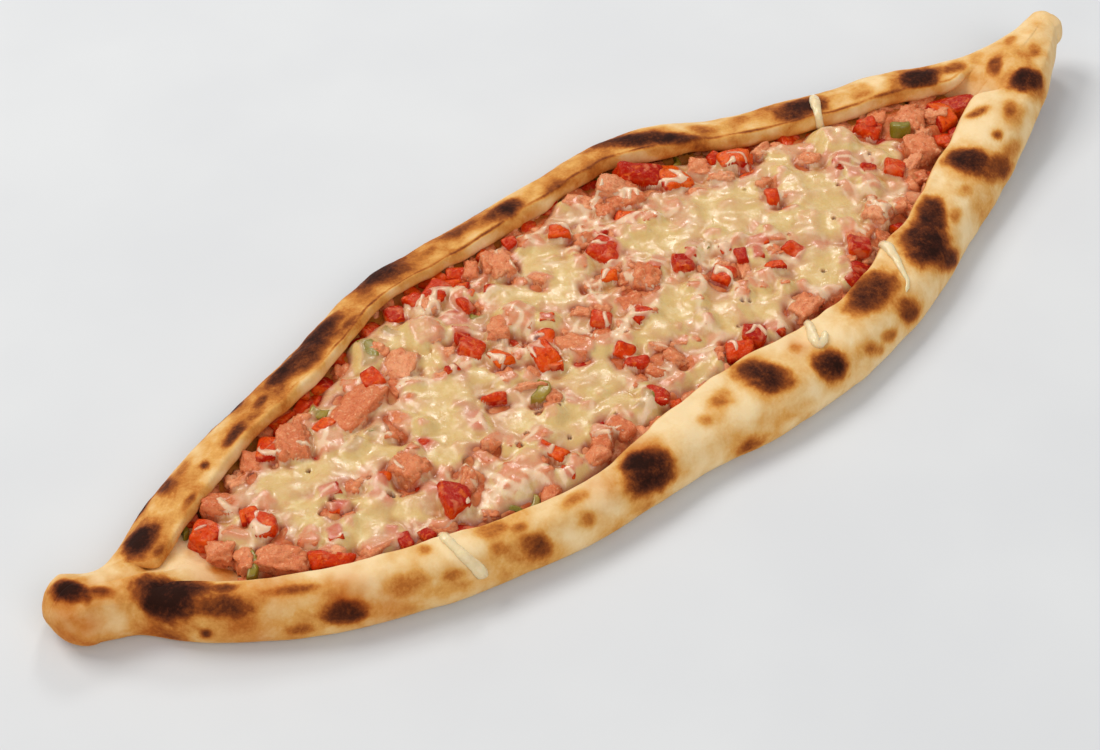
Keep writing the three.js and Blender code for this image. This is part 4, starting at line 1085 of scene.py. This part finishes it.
nb = M.bump(M.noise(2.2, 4, 0.6), 0.7, 0.9)
nb = M.bump(crumb, 0.35, 1.0, nb)
M.link(nb, M.b.inputs["Normal"])
topping["chicken"].data.materials.append(M.m)

# pepper
M = Mat("roasted_pepper")
base = M.ramp(M.attr("each"), [(0.0, lin(118, 108, 18)), (0.5, lin(138, 120, 28)), (1.0, lin(158, 130, 42))])
base = M.mix(M.attr("face"), base, lin(106, 102, 18))
base = M.mix(M.mapr(M.noise(1.8, 4, 0.6), 0.5, 0.8, 0.0, 0.4), base, lin(176, 132, 60))
M.link(base, M.b.inputs["Base Color"])
M.link(M.mapr(M.noise(1.8, 3, 0.5), 0.3, 0.7, 0.2, 0.4), M.b.inputs["Roughness"])
M.b.inputs["Subsurface Weight"].default_value = 0.2
M.b.inputs["Subsurface Radius"].default_value = (0.6, 1.0, 0.2)
M.b.inputs["Subsurface Scale"].default_value = 0.0015
M.link(M.bump(M.noise(1.4, 3, 0.55), 0.2, 0.6), M.b.inputs["Normal"])
topping["pepper"].data.materials.append(M.m)

# filling core: chopped bits in oily sauce
M = Mat("saucy_filling")
base = M.ramp(M.math("MULTIPLY_ADD", M.attr("each"), 0.8, 0.5, clamp=True), [(0.0, lin(150, 58, 26)), (0.45, lin(186, 90, 46)), (0.75, lin(206, 128, 82)), (1.0, lin(150, 112, 40))])
base = M.mix(M.mapr(M.attr("grain"), 0.1, 0.4, 0.0, 0.6), base, lin(176, 50, 24))
base = M.mix(M.mapr(M.noise(1.7, 4, 0.6), 0.5, 0.75, 0.0, 0.5), base, lin(214, 150, 100))
base = M.mix(M.attr("oily"), base, lin(176, 108, 34))
M.link(base, M.b.inputs["Base Color"])
M.link(M.mapr(M.noise(1.6, 3, 0.5), 0.3, 0.7, 0.15, 0.4), M.b.inputs["Roughness"])
M.b.inputs["Specular IOR Level"].default_value = 0.3
M.b.inputs["Specular Tint"].default_value = (1.0, 0.6, 0.35, 1.0)
M.b.inputs["Subsurface Weight"].default_value = 0.15
M.b.inputs["Subsurface Radius"].default_value = (1.0, 0.3, 0.15)
M.b.inputs["Subsurface Scale"].default_value = 0.002
M.link(M.bump(M.noise(1.5, 4, 0.6), 0.4, 0.8), M.b.inputs["Normal"])
core.data.materials.append(M.m)

# ------------------------------------------------------------------ table of pieces
nodes = list(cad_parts)
of_kind = lambda k: [n for n in nodes if n.startswith(k + "_")]
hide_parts("bread")
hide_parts("filling_bed")
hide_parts("melted_cheese")
for kind in ("tomato", "chicken", "pepper"):
    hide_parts(*of_kind(kind))
for ob in (bread, core, cheese, drips, *topping.values()):
    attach(ob, "root")

# ------------------------------------------------------------------ studio
me = bpy.data.meshes.new("studio_floor")
me.from_pydata([(-6, -6, -0.0003), (6, -6, -0.0003), (6, 6, -0.0003), (-6, 6, -0.0003)], [], [(0, 1, 2, 3)])
floor = bpy.data.objects.new("studio_floor", me)
bpy.context.scene.collection.objects.link(floor)
M = Mat("pale_floor")
M.link(M.mix(M.mapr(M.noise(90, 3, 0.5), 0.3, 0.7, 0.0, 1.0), (0.655, 0.66, 0.665), (0.685, 0.69, 0.69)), M.b.inputs["Base Color"])
M.b.inputs["Roughness"].default_value = 0.85
M.b.inputs["Specular IOR Level"].default_value = 0.1
floor.data.materials.append(M.m)

world = bpy.data.worlds.new("studio") if not bpy.context.scene.world else bpy.context.scene.world
bpy.context.scene.world = world
world.use_nodes = True
bg = world.node_tree.nodes.get("Background") or world.node_tree.nodes.new("ShaderNodeBackground")
bg.inputs[0].default_value = (0.93, 0.96, 1.0, 1.0)
bg.inputs[1].default_value = 0.42


def area(name, loc, target, size, power, col=(1, 1, 1)):
    l = bpy.data.lights.new(name, "AREA")
    l.shape = "RECTANGLE"
    l.size, l.size_y = size
    l.energy = power
    l.color = col
    o_ = bpy.data.objects.new(name, l)
    bpy.context.scene.collection.objects.link(o_)
    o_.location = loc
    o_.rotation_euler = (Vector(target) - Vector(loc)).to_track_quat("-Z", "Y").to_euler()
    return o_


area("key", (-0.75, 1.9, 2.3), (0, 0, 0), (1.7, 1.2), 54.0, (1.0, 0.985, 0.96))
area("fill", (-0.4, -2.3, 2.0), (0, 0, 0), (2.2, 1.7), 30.0, (1.0, 0.985, 0.97))
area("side", (-1.9, -0.9, 0.9), (-0.15, 0, 0), (0.9, 0.9), 4.5, (1.0, 0.95, 0.86))
area("glint", (0.70, 0.83, 1.04), (0, 0, 0), (0.30, 0.30), 4.5, (1.0, 1.0, 1.0))

sc_ = bpy.context.scene
sc_.view_settings.view_transform = "Standard"
sc_.view_settings.look = "None"
sc_.view_settings.exposure = 0.0
